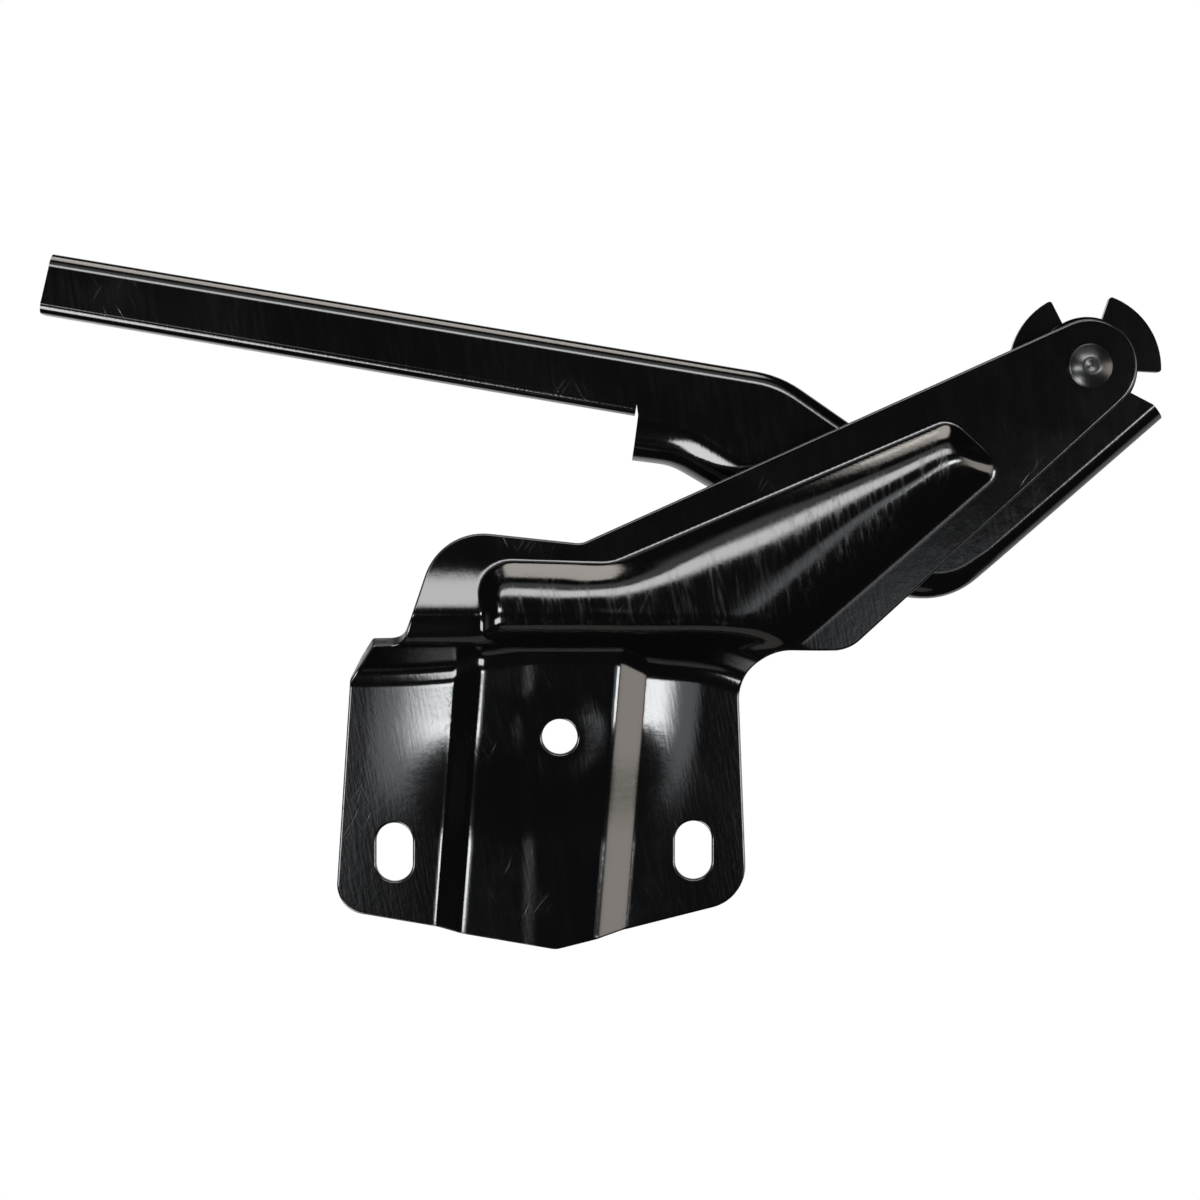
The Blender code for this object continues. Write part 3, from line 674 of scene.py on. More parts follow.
    def blank(self) -> Piece:
        """Cut the flat blank, with a narrow band along every cut edge and a fine grid inside it."""
        loops = [spaced(loop, self.pitch, closed=True) for loop in (self.outline(), *self.holes())]
        sheet = Bench.wires("bracket_sheet", [placed(np.insert(loop, 1, 0.0, axis=1)) for loop in loops])
        Bench.edit()
        bpy.ops.mesh.fill(use_beauty=True)
        bpy.ops.mesh.select_mode(type="EDGE")
        bpy.ops.mesh.select_all(action="DESELECT")
        bpy.ops.mesh.select_non_manifold(
            extend=False, use_wire=False, use_multi_face=False, use_non_contiguous=False
        )
        bpy.ops.mesh.select_all(action="INVERT")
        bpy.ops.mesh.dissolve_edges(use_verts=False)
        bpy.ops.mesh.select_mode(type="FACE")
        bpy.ops.mesh.select_all(action="SELECT")
        bpy.ops.mesh.inset(thickness=self.rim * MM, use_boundary=True)
        bpy.ops.mesh.hide(unselected=True)
        low, high = Bench.points(sheet).min(axis=0), Bench.points(sheet).max(axis=0)
        for axis, direction in ((0, (1.0, 0.0, 0.0)), (2, (0.0, 0.0, 1.0))):
            for place in np.arange(low[axis] + self.pitch * MM, high[axis], self.pitch * MM):
                bpy.ops.mesh.select_all(action="SELECT")
                bpy.ops.mesh.bisect(plane_co=Vector(direction) * place, plane_no=direction)
        bpy.ops.mesh.reveal()
        Bench.face_out()
        return sheet

    def build(self) -> Piece:
        """Press the blank, thicken it and roll its edges.

        Returns:
            The finished piece.
        """
        sheet = self.blank()
        places = Bench.points(sheet)
        x, z = (places[:, 0] - PIVOT.x) / MM, (places[:, 2] - PIVOT.z) / MM
        places[:, 1] = PIVOT.y + self.depth(x, z) * MM
        Bench.move_points(sheet, places)
        drawn = sheet.data.attributes.new("drawn", "FLOAT", "POINT")
        low, high = self.drawn_heights
        drawn.data.foreach_set("value", np.clip((self.rib(x, z) - low) / (high - low), 0.0, 1.0))
        Bench.face_viewer(sheet)
        Bench.thicken(sheet, BRACKET_SHEET)
        Bench.soften_edges(sheet, self.edge_roll, ROLL_FACETS)
        Bench.mark_rim(sheet, self.rim_reach)
        Bench.shade(sheet)
        return sheet


@dataclass
class Flange:
    """A flange bent back from the arm's web, by the values at fractions of its length."""

    path: Path
    bends: tuple[Pair, ...]
    depths: tuple[Pair, ...]
    rows: int = 9

    def along(self, values: tuple[Pair, ...]) -> np.ndarray:
        """Return a value for each point of the path, by its share of the length."""
        steps = np.linalg.norm(np.diff(self.path, axis=0), axis=1)
        shares = np.concatenate([[0.0], np.cumsum(steps)]) / steps.sum()
        return np.interp(shares, [share for share, _ in values], [value for _, value in values])

    def normals(self) -> np.ndarray:
        """Return the unit normal on the left of each point of the path."""
        before = self.path[np.maximum(np.arange(len(self.path)) - 1, 0)]
        after = self.path[np.minimum(np.arange(len(self.path)) + 1, len(self.path) - 1)]
        heading = (after - before) / np.linalg.norm(after - before, axis=1)[:, None]
        return np.column_stack([-heading[:, 1], heading[:, 0]])

    def skin(self) -> list[np.ndarray]:
        """Return the rows of points from the web, round the bend, to the flange's edge."""
        bends, normals = self.along(self.bends), self.normals()
        drawn = []
        for turn in np.radians(np.linspace(0.0, 90.0, self.rows + 1)):
            place = self.path - normals * (bends * (1 - math.sin(turn)))[:, None]
            depth = ARM_FRONT + bends * (1 - math.cos(turn))
            drawn.append(placed(np.column_stack([place[:, 0], depth, place[:, 1]])))
        far = ARM_FRONT + np.maximum(self.along(self.depths), bends + CLEARANCE)
        for share in (0.5, 1.0):
            depth = ARM_FRONT + bends + (far - ARM_FRONT - bends) * share
            drawn.append(placed(np.column_stack([self.path[:, 0], depth, self.path[:, 1]])))
        return drawn


@dataclass
class BonnetArm:
    """The bonnet arm: a flat web with flanges bent back along its top, its gooseneck and its lower rim."""

    pitch: float = 1.6
    edge_roll: float = 0.4
    rim_reach: float = 0.36
    tip_top: Pair = (-305.4, 33.9)
    knee: Pair = (-90.0, -2.0)
    knee_radius: float = 33.0
    tip_bottom: Pair = (-309.0, 16.2)
    step: Pair = (-133.2, -13.75)
    lip_end: Pair = (-133.9, -26.4)
    lip_knee: Pair = (-122.2, -27.9)
    lip_knee_radius: float = 18.0
    gooseneck_top_angle: float = -34.8
    gooseneck_lower_angle: float = -30.3
    notch_radius: float = 10.0
    heel_radius: float = 23.0
    neck_angle: float = 41.0
    neck_shoulder: float = 7.6
    shoulder_angle: float = -30.0
    top_bend: float = ARM_SHEET + 2.0
    rim_bend: float = ARM_SHEET + 0.4
    neck_bend: float = ARM_SHEET + 2.5
    lip_bend: float = ARM_SHEET + 10.0
    top_flange: float = 25.0
    notch_flange: float = 15.0
    rim_flange: float = 9.0
    neck_flange: float = 18.0
    lip_flange: float = 20.0
    bonnet_hole: float = 9.0
    hole_at: float = 38.0
    slot_length: float = 15.0
    slot_at: float = 128.0

    def flanges(self) -> list[Flange]:
        """Return the three flanges: top, neck and lip, and lower rim."""
        tangent = polar(ARM_END_RADIUS, self.neck_angle + 90.0)
        neck = polar(1.0, self.neck_angle)
        inner = ARM_END_RADIUS - ARM_SHEET
        start = math.sqrt((STOP_RADIUS + 3.3) ** 2 - inner**2)
        outer = STOP_RADIUS + 1.1 + ARM_SHEET
        foot = polar(outer, self.neck_angle - 90.0)
        notch = meeting_point(self.knee, self.gooseneck_top_angle, tangent, self.neck_angle)
        heel = meeting_point(self.lip_knee, self.gooseneck_lower_angle, foot, self.neck_angle)
        top = rounded(
            [(*self.tip_top, 0.0), (*self.knee, self.knee_radius), (*notch, self.notch_radius)]
            + [(*(tangent - neck * start), 0.0)],
            closed=False,
        )
        lower = rounded(
            [(*(foot + neck * self.neck_shoulder), 0.0), (*heel, self.heel_radius)]
            + [(*self.lip_knee, self.lip_knee_radius), (*self.lip_end, 0.0)],
            closed=False,
        )
        rim = np.array([self.step, self.tip_bottom])
        top_depths = tuple(zip((0.0, 0.7, 0.85, 1.0), (self.top_flange,) * 2 + (self.notch_flange,) * 2))
        lip_bends = tuple(zip((0.0, 0.35, 0.65, 1.0), (self.neck_bend,) * 2 + (self.lip_bend,) * 2))
        lip_depths = ((0.0, self.neck_flange), (0.6, self.neck_flange), (1.0, self.lip_flange))
        return [
            Flange(spaced(top, self.pitch, False), ((0.0, self.top_bend),), top_depths),
            Flange(spaced(lower, self.pitch, False), lip_bends, lip_depths),
            Flange(spaced(rim, self.pitch, False), ((0.0, self.rim_bend),), ((0.0, self.rim_flange),)),
        ]

    def skin(self) -> Piece:
        """Skin the flanges, join them and fill the web between them."""
        flanges = self.flanges()
        pieces = [Bench.rows(f"flange_{index}", flange.skin()) for index, flange in enumerate(flanges)]
        end = arc(CENTRE, ARM_END_RADIUS, self.neck_angle + 90.0, self.shoulder_angle)
        roots = [flange.skin()[0] for flange in flanges]
        web = [roots[0], placed(np.insert(spaced(end, self.pitch, False), 1, ARM_FRONT, axis=1)), *roots[1:]]
        pieces.insert(0, Bench.wires("arm_sheet", [np.vstack(web)]))
        Bench.edit()
        bpy.ops.mesh.edge_face_add()
        Bench.done()
        Bench.pick(*pieces)
        bpy.ops.object.join()
        Bench.edit()
        bpy.ops.mesh.remove_doubles(threshold=WELD)
        bpy.ops.mesh.normals_make_consistent(inside=False)
        Bench.done()
        Bench.face_viewer(pieces[0])
        return pieces[0]

    def flange_tool(self, name: str, distance: float, length: float) -> Piece:
        """Make the punch for a hole in the top flange.

        Args:
            name: Its name.
            distance: How far from the arm's tip the hole is.
            length: The length of the hole across the flange's width.

        Returns:
            The punch.
        """
        heading = np.array(self.knee) - np.array(self.tip_top)
        heading /= np.linalg.norm(heading)
        centre = np.array(self.tip_top) + heading * distance
        radius, rise = self.bonnet_hole / 2, max(length - self.bonnet_hole, 0.0) / 2
        outline = np.vstack([arc((rise, 0.0), radius, -90.0, 90.0), arc((-rise, 0.0), radius, 90.0, 270.0)])
        upward = np.array([-heading[1], heading[0]])
        depth = ARM_FRONT + (self.top_bend + self.top_flange) / 2
        foot = centre - upward * PUNCH_REACH
        points = [(foot[0] + u * heading[0], depth + v, foot[1] + u * heading[1]) for u, v in outline]
        tool = Bench.wires(name, [placed(points)])
        Bench.edit()
        bpy.ops.mesh.remove_doubles(threshold=WELD)
        bpy.ops.mesh.select_all(action="SELECT")
        bpy.ops.mesh.edge_face_add()
        push = Vector((upward[0], 0.0, upward[1])) * (2 * PUNCH_REACH * MM)
        bpy.ops.mesh.extrude_region_move(TRANSFORM_OT_translate={"value": push})
        Bench.face_out()
        return tool

    def bore_tool(self) -> Piece:
        """Return the punch for the pivot bore."""
        near, far, radius = ARM_FRONT - PUNCH_REACH, ARM_FRONT + PUNCH_REACH, BUSH_RADIUS + CLEARANCE
        return Bench.spin("arm_bore", [(0.0, near), (radius, near), (radius, far), (0.0, far)], ROUND_STEPS)

    def build(self) -> Piece:
        """Bend the sheet, punch its holes and roll its edges.

        Returns:
            The finished piece.
        """
        sheet = self.skin()
        Bench.thicken(sheet, ARM_SHEET)
        Bench.bore(sheet, self.bore_tool())
        Bench.bore(sheet, self.flange_tool("bonnet_hole", self.hole_at, self.bonnet_hole))
        Bench.bore(sheet, self.flange_tool("bonnet_slot", self.slot_at, self.slot_length))
        Bench.soften_edges(sheet, self.edge_roll, ROLL_FACETS)
        Bench.mark_rim(sheet, self.rim_reach)
        Bench.shade(sheet, weighted=True)
        return sheet


@dataclass
class StopDisc:
    """The two-lobed stop plate behind the arm."""

    hub_radius: float = 12.0
    right_lobe: Pair = (-3.0, 71.0)
    left_lobe: Pair = (117.0, 200.0)
    tip_radius: float = 1.4
    root_radius: float = 3.0
    edge_round: float = 1.2
    edge_facets: int = 5

    def lobe(self, start: float, end: float) -> list[Triple]:
        """Return the corners of one lobe, counter-clockwise."""
        rim = arc(CENTRE, STOP_RADIUS, start, end)
        corners = [(*polar(self.hub_radius, start), self.root_radius), (*rim[0], self.tip_radius)]
        corners += [(*point, 0.0) for point in rim[1:-1]]
        return corners + [(*rim[-1], self.tip_radius), (*polar(self.hub_radius, end), self.root_radius)]

    def build(self) -> Piece:
        """Blank the disc, give it its thickness and round its edges.

        Returns:
            The finished piece.
        """
        corners = self.lobe(*self.right_lobe)
        between = arc(CENTRE, self.hub_radius, self.right_lobe[1], self.left_lobe[0])
        corners += [(*point, 0.0) for point in between[1:-1]]
        corners += self.lobe(*self.left_lobe)
        closing = arc(CENTRE, self.hub_radius, self.left_lobe[1], self.right_lobe[0] + 360.0)
        corners += [(*point, 0.0) for point in closing[1:-1]]
        outline = rounded(corners, closed=True)
        loops = [outline, circle(CENTRE, BORE_RADIUS)]
        disc = Bench.wires("stop_plate", [placed(np.insert(loop, 1, STOP_FRONT, axis=1)) for loop in loops])
        Bench.edit()
        bpy.ops.mesh.fill(use_beauty=True)
        bpy.ops.mesh.dissolve_limited(angle_limit=math.radians(1.0))
        bpy.ops.mesh.select_all(action="SELECT")
        bpy.ops.mesh.extrude_region_move(TRANSFORM_OT_translate={"value": (0.0, STOP_THICKNESS * MM, 0.0)})
        Bench.face_out()
        Bench.soften_edges(disc, self.edge_round, self.edge_facets)
        Bench.shade(disc, weighted=True)
        return disc


@dataclass
class PivotStack:
    """The rivet and the turned rings that it holds."""

    steps: int = ROUND_STEPS
    head_radius: float = 6.5
    head_height: float = 2.6
    tail_radius: float = 7.0
    tail_height: float = 3.0
    rim: float = 0.8
    rim_round: float = 0.4
    dimple_radius: float = 1.8
    dimple_depth: float = 0.5
    thrust_washer_radius: float = 11.0
    rear_washer_radius: float = 9.5
    chamfer: float = 0.25

    def dome(self, radius: float, height: float) -> list[Pair]:
        """Draw a low rivet head from its centre to its rim, with the dimple left by the die.

        Args:
            radius: Its radius.
            height: Its height over its seat.

        Returns:
            (radius, height over the seat) points.
        """
        rise = height - self.rim
        sphere = (radius**2 + rise**2) / (2 * rise)
        near = self.dimple_radius * 1.8
        outer = np.linspace(near, radius - self.rim_round, 14)[1:]
        radii = np.concatenate([np.linspace(0.0, near, 12), outer])
        crown = self.rim + rise - sphere + np.sqrt(sphere**2 - radii**2)
        crown -= self.dimple_depth * (1 - eased(radii / (self.dimple_radius * 1.6)))
        points = list(zip(radii, crown))
        shoulder = crown[-1] - self.rim_round
        for turn in (65.0, 40.0, 15.0, 0.0):
            across, up = polar(self.rim_round, turn)
            points.append((radius - self.rim_round + across, shoulder + up))
        return [(float(r), float(h)) for r, h in points]

    def rivet(self) -> Piece:
        """Return the pivot rivet, with its head in front and its upset tail behind."""
        profile = [(r, -CLEARANCE - h) for r, h in self.dome(self.head_radius, self.head_height)]
        profile += [(self.head_radius, -CLEARANCE), (SHANK_RADIUS, -CLEARANCE)]
        profile += [(SHANK_RADIUS, TAIL_FRONT), (self.tail_radius, TAIL_FRONT)]
        profile += [(r, TAIL_FRONT + h) for r, h in reversed(self.dome(self.tail_radius, self.tail_height))]
        piece = Bench.spin("rivet_turned", profile, self.steps)
        Bench.shade(piece, weighted=True)
        return piece

    def ring(self, name: str, inner: float, outer: float, front: float, thickness: float) -> Piece:
        """Turn a chamfered ring.

        Args:
            name: Its name.
            inner: The radius of its bore.
            outer: Its outer radius.
            front: The depth of its front face.
            thickness: Its thickness.

        Returns:
            The finished piece.
        """
        section = [(inner, front), (outer, front), (outer, front + thickness), (inner, front + thickness)]
        piece = Bench.spin(name, section, self.steps)
        Bench.soften_edges(piece, self.chamfer, 2)
        Bench.shade(piece, weighted=True)
        return piece

    def build(self) -> dict[str, Piece]:
        """Turn the rivet and its rings.

        Returns:
            Each piece by the node that it stands for.
        """
        return {
            "pivot_rivet": self.rivet(),
            "pivot_bush": self.ring("bush_ring", BORE_RADIUS, BUSH_RADIUS, ARM_FRONT, ARM_SHEET),
            "thrust_washer": self.ring(
                "thrust_ring", BORE_RADIUS, self.thrust_washer_radius,
                THRUST_WASHER_FRONT, THRUST_WASHER_THICKNESS,
            ),
            "rear_washer": self.ring(
                "rear_ring", BORE_RADIUS, self.rear_washer_radius,
                REAR_WASHER_FRONT, REAR_WASHER_THICKNESS,
            ),
        }


class Nodes:
    """A node tree, with the moves that the finishes share."""

    def __init__(self, tree: bpy.types.NodeTree) -> None:
        """Keep the tree."""
        self.tree = tree

    def add(self, kind: str, **settings: object) -> bpy.types.Node:
        """Add a node.

        Args:
            kind: Its type without the ShaderNode in front.
            settings: Its settings by name.

        Returns:
            The node.
        """
        node = self.tree.nodes.new(f"ShaderNode{kind}")
        for name, value in settings.items():
            setattr(node, name, value)
        return node

    def feed(self, node: bpy.types.Node, **sources: object) -> bpy.types.Node:
        """Give a node its inputs, each by its name with underscores, from a socket or as a number.

        Args:
            node: The node.
            sources: A socket to link or a plain value for each input.

        Returns:
            The node.
        """
        for name, source in sources.items():
            socket = node.inputs[name.replace("_", " ")]
            if isinstance(source, Socket):
                self.tree.links.new(source, socket)
            else:
                socket.default_value = source
        return node

    def math(self, operation: str, first: object, second: object = 0.0) -> Socket:
        """Work on two values, each a socket or a number, and return the result's socket."""
        node = self.add("Math", operation=operation)
        for socket, source in zip(node.inputs, (first, second)):
            if isinstance(source, Socket):
                self.tree.links.new(source, socket)
            else:
                socket.default_value = source
        return node.outputs["Value"]

    def times(self, first: object, second: object) -> Socket:
        """Multiply two values."""
        return self.math("MULTIPLY", first, second)

    def plus(self, first: object, second: object) -> Socket:
        """Add two values."""
        return self.math("ADD", first, second)

    def noise(self, vector: Socket, scale: float, detail: float = 2.0) -> Socket:
        """Return the value of a noise of so many waves to the metre."""
        return self.feed(self.add("TexNoise"), Vector=vector, Scale=scale, Detail=detail).outputs["Fac"]

    def ramp(
        self, value: Socket, low: float, high: float, to_low: float = 0.0, to_high: float = 1.0
    ) -> Socket:
        """Carry a value smoothly from one range to another, held at its ends."""
        node = self.add("MapRange", interpolation_type="SMOOTHSTEP")
        fed = {"Value": value, "From Min": low, "From Max": high, "To Min": to_low, "To Max": to_high}
        return self.feed(node, **fed).outputs["Result"]

    def blend(self, share: Socket, first: Triple, second: Triple) -> Socket:
        """Return the colour between two, by the share of the second."""
        node = self.add("Mix", data_type="RGBA")
        self.tree.links.new(share, node.inputs[0])
        node.inputs[6].default_value = (*first, 1.0)
        node.inputs[7].default_value = (*second, 1.0)
        return node.outputs[2]

    def turned(self, vector: Socket, angle: float, stretch: Vector) -> Socket:
        """Turn a place about the viewing line and stretch it, so that a noise on it runs in streaks."""
        turn = self.feed(self.add("Mapping"), Vector=vector, Rotation=(0.0, math.radians(angle), 0.0))
        return self.feed(self.add("Mapping"), Vector=turn.outputs["Vector"], Scale=stretch).outputs["Vector"]


class Effect(Enum):
    """The surface effects that the finishes share, each a node group."""

    PEEL = "orange peel"
    STREAKS = "drawn streaks"
    SCUFFS = "handling scuffs"
    WEAR = "edge wear"
    DUST = "settled dust"

    def group(self) -> bpy.types.NodeTree:
        """Return the effect's node group, made once."""
        made = bpy.data.node_groups.get(self.value)
        return made or EffectMaker(self).make()


class EffectMaker:
    """Makes the node group of one effect."""

    def __init__(self, effect: Effect) -> None:
        """Open an empty group with a place on the piece as its first input."""
        self.effect = effect
        self.tree = bpy.data.node_groups.new(effect.value, "ShaderNodeTree")
        self.nodes = Nodes(self.tree)
        self.tree.interface.new_socket("Place", in_out="INPUT", socket_type="NodeSocketVector")

    def value_in(self, name: str, value: float) -> None:
        """Add a value input with a default."""
        made = self.tree.interface.new_socket(name, in_out="INPUT", socket_type="NodeSocketFloat")
        made.default_value = value

    def make(self) -> bpy.types.NodeTree:
        """Fill the group and return it."""
        recipes = {
            Effect.PEEL: self.peel,
            Effect.STREAKS: self.streaks,
            Effect.SCUFFS: self.scuffs,
            Effect.WEAR: self.wear,
            Effect.DUST: self.dust,
        }
        recipes[self.effect]()
        return self.tree

    def finish(self, **results: Socket) -> None:
        """Put out the results by name."""
        out = self.tree.nodes.new("NodeGroupOutput")
        for name, result in results.items():
            self.tree.interface.new_socket(name, in_out="OUTPUT", socket_type="NodeSocketFloat")
            self.tree.links.new(result, out.inputs[name])

    def inputs(self) -> bpy.types.bpy_prop_collection:
        """Return the outputs of the group's input node."""
        return self.tree.nodes.new("NodeGroupInput").outputs

    def peel(self) -> None:
        """Shallow ripples of a dipped coat: a height with fine grain on slow waves."""
        self.value_in("Ripple", 420.0)
        self.value_in("Grain", 1500.0)
        given, nodes = self.inputs(), self.nodes
        waves = nodes.noise(given["Place"], given["Ripple"], 1.5)
        grain = nodes.noise(given["Place"], given["Grain"])
        self.finish(Height=nodes.plus(waves, nodes.times(grain, 0.35)))

    def streaks(self) -> None:
        """Fine lines that the die draws in the sheet, across the way the metal flowed."""
        given, nodes = self.inputs(), self.nodes
        fine = nodes.noise(given["Place"], 1.0, 3.0)
        broken = nodes.noise(given["Place"], 0.21, 2.0)
        lines = nodes.ramp(fine, 0.38, 0.66)
        self.finish(Height=fine, Mask=nodes.times(lines, nodes.ramp(broken, 0.35, 0.62)))

    def scuffs(self) -> None:
        """Rubbed patches crossed by short scratches."""
        self.value_in("Cover", 0.5)
        given, nodes = self.inputs(), self.nodes
        threshold = nodes.math("SUBTRACT", 1.0, given["Cover"])
        patch = nodes.noise(given["Place"], 38.0, 3.0)
        patch = nodes.ramp(patch, nodes.plus(threshold, -0.06), nodes.plus(threshold, 0.14))
        scratches = []
        for angle, seed in ((-34.0, 3.0), (-24.0, 11.0), (28.0, 23.0)):
            run = nodes.turned(given["Place"], angle, Vector((1.0, 1.0, 0.07)))
            shifted = nodes.feed(nodes.add("Mapping"), Vector=run, Location=(seed, seed, seed))
            line = nodes.noise(shifted.outputs["Vector"], 1300.0, 0.0)
            scratches.append(nodes.ramp(line, 0.72, 0.8))
        crossed = nodes.math("MAXIMUM", nodes.math("MAXIMUM", scratches[0], scratches[1]), scratches[2])
        self.finish(Patch=patch, Scratch=crossed)

    def wear(self) -> None:
        """Bright specks and rubs along the cut edges, from how near they are and an uneven noise."""
        self.value_in("Near", 0.0)
        given, nodes = self.inputs(), self.nodes
        uneven = nodes.noise(given["Place"], 260.0, 4.0)
        broad = nodes.noise(given["Place"], 45.0, 2.0)
        reach = nodes.plus(nodes.times(given["Near"], 0.62), nodes.times(uneven, 0.55))
        rubbed = nodes.ramp(nodes.plus(reach, nodes.times(broad, 0.35)), 0.98, 1.1)
        self.finish(Mask=rubbed)

    def dust(self) -> None:
        """Fine specks in loose clouds."""
        given, nodes = self.inputs(), self.nodes
        specks = nodes.ramp(nodes.noise(given["Place"], 2100.0, 1.0), 0.66, 0.74)
        clouds = nodes.ramp(nodes.noise(given["Place"], 30.0, 3.0), 0.42, 0.68, 0.15, 1.0)
        self.finish(Specks=nodes.times(specks, clouds), Clouds=clouds)


@dataclass(frozen=True)
class BlackCoat:
    """Gloss black electro-coat over pressed steel."""

    name: str
    colour: Triple = (0.0024, 0.0024, 0.0026)
    rubbed: Triple = (0.016, 0.016, 0.017)
    roughness: float = 0.085
    streak_angle: float = -80.0
    streaks: float = 1.0
    scuff_cover: float = 0.4
    peel: float = 0.012
    wear: float = 1.0
    refraction: float = 1.8
    streak_waves: Triple = (110.0, 1100.0, 1100.0)
    groove: float = 1.1
    dulled_by_dust: float = 0.025
    dulled_by_scuffs: float = 0.03
    dulled_by_wear: float = 0.2
    dulled_by_streaks: Pair = (0.02, 0.11)

    def material(self) -> bpy.types.Material:
        """Return the material, made new."""
        made = bpy.data.materials.new(self.name)
        made.use_nodes = True
        nodes = Nodes(made.node_tree)
        shader = made.node_tree.nodes["Principled BSDF"]
        place = nodes.add("TexCoord").outputs["Object"]
        peel = self.effect(nodes, Effect.PEEL, place)
        lines = nodes.turned(place, self.streak_angle, Vector(self.streak_waves))
        streaks = self.effect(nodes, Effect.STREAKS, lines)
        scuffs = self.effect(nodes, Effect.SCUFFS, place)
        scuffs.inputs["Cover"].default_value = self.scuff_cover
        wear = self.effect(nodes, Effect.WEAR, place)
        rim = nodes.add("Attribute", attribute_name="rim").outputs["Fac"]
        nodes.feed(wear, Near=nodes.times(rim, self.wear))
        dust = self.effect(nodes, Effect.DUST, place)
        scratched = nodes.times(scuffs.outputs["Scratch"], scuffs.outputs["Patch"])
        worn = nodes.math("MAXIMUM", wear.outputs["Mask"], nodes.times(scratched, 0.25))
        dulled = nodes.math("MAXIMUM", worn, nodes.times(dust.outputs["Specks"], 0.35))
        nodes.feed(shader, Base_Color=nodes.blend(dulled, self.colour, self.rubbed), IOR=self.refraction)
        rough = nodes.plus(self.roughness, nodes.times(dust.outputs["Clouds"], self.dulled_by_dust))
        rough = nodes.plus(rough, nodes.times(scuffs.outputs["Patch"], self.dulled_by_scuffs))
        drawn = nodes.add("Attribute", attribute_name="drawn").outputs["Fac"]
        everywhere, more_where_drawn = self.dulled_by_streaks
        drawn = nodes.plus(everywhere, nodes.times(drawn, more_where_drawn))
        lines_rough = nodes.times(streaks.outputs["Mask"], drawn)
        rough = nodes.plus(rough, nodes.times(lines_rough, self.streaks))
        rough = nodes.plus(rough, nodes.times(worn, self.dulled_by_wear))
        nodes.feed(shader, Roughness=rough)
        grooves = nodes.times(streaks.outputs["Height"], self.groove * self.streaks)
        height = nodes.math("SUBTRACT", nodes.plus(peel.outputs["Height"], grooves), scratched)
        bump = nodes.feed(nodes.add("Bump"), Height=height, Strength=1.0, Distance=self.peel * MM)
        nodes.feed(shader, Normal=bump.outputs["Normal"])
        return made

    def effect(self, nodes: Nodes, effect: Effect, place: Socket) -> bpy.types.Node:
        """Place an effect's group in the material."""
        node = nodes.add("Group", node_tree=effect.group())
        return nodes.feed(node, Place=place)


@dataclass(frozen=True)
class TurnedMetal:
    """Bare or plated metal that was turned in a lathe about the pivot."""

    name: str
    colour: Triple
    stain: Triple
    roughness: float
    rings: float = 2600.0
    pores: float = 0.0
    depth: float = 0.012
    stained: float = 0.6
    dulled_by_stains: float = 0.12
    dulled_by_rings: float = 0.1

    def material(self) -> bpy.types.Material:
        """Return the material, made new."""
        made = bpy.data.materials.new(self.name)
        made.use_nodes = True
        nodes = Nodes(made.node_tree)
        shader = made.node_tree.nodes["Principled BSDF"]
        place = nodes.add("TexCoord").outputs["Object"]
        centred = nodes.feed(nodes.add("Mapping"), Vector=place, Location=tuple(-PIVOT)).outputs["Vector"]
        axes = nodes.feed(nodes.add("SeparateXYZ"), Vector=centred).outputs
        squares = nodes.plus(nodes.math("POWER", axes["X"], 2.0), nodes.math("POWER", axes["Z"], 2.0))
        radius = nodes.feed(nodes.add("CombineXYZ"), X=nodes.math("SQRT", squares)).outputs["Vector"]
        rings = nodes.noise(radius, self.rings, 3.0)
        blotches = nodes.ramp(nodes.noise(place, 320.0, 4.0), 0.42, 0.66)
        holes = nodes.ramp(nodes.noise(place, 2400.0, 1.0), 0.6, 0.7, 0.0, self.pores)
        stained = nodes.math("MAXIMUM", nodes.times(blotches, self.stained), holes)
        nodes.feed(shader, Base_Color=nodes.blend(stained, self.colour, self.stain), Metallic=1.0)
        rough = nodes.plus(self.roughness, nodes.times(blotches, self.dulled_by_stains))
        nodes.feed(shader, Roughness=nodes.plus(rough, nodes.times(rings, self.dulled_by_rings)))
        height = nodes.math("SUBTRACT", rings, nodes.times(holes, 2.0))
        bump = nodes.feed(nodes.add("Bump"), Height=height, Strength=1.0, Distance=self.depth * MM)
        nodes.feed(shader, Normal=bump.outputs["Normal"])
        return made


@dataclass(frozen=True)
class SoftBox:
    """A soft light, by the directions that it fills as the hinge sees them, in degrees.

    Azimuth counts to the right from the viewer, elevation up from the horizon. The light fades out beyond
    each end of its spans, and its level is that of its face, where white paper in the picture is 1.
    """

    azimuth: Pair
    elevation: Pair
    level: float
    colour: Triple = WHITE
    azimuth_fade: Pair = (5.0, 5.0)
    elevation_fade: Pair = (5.0, 5.0)


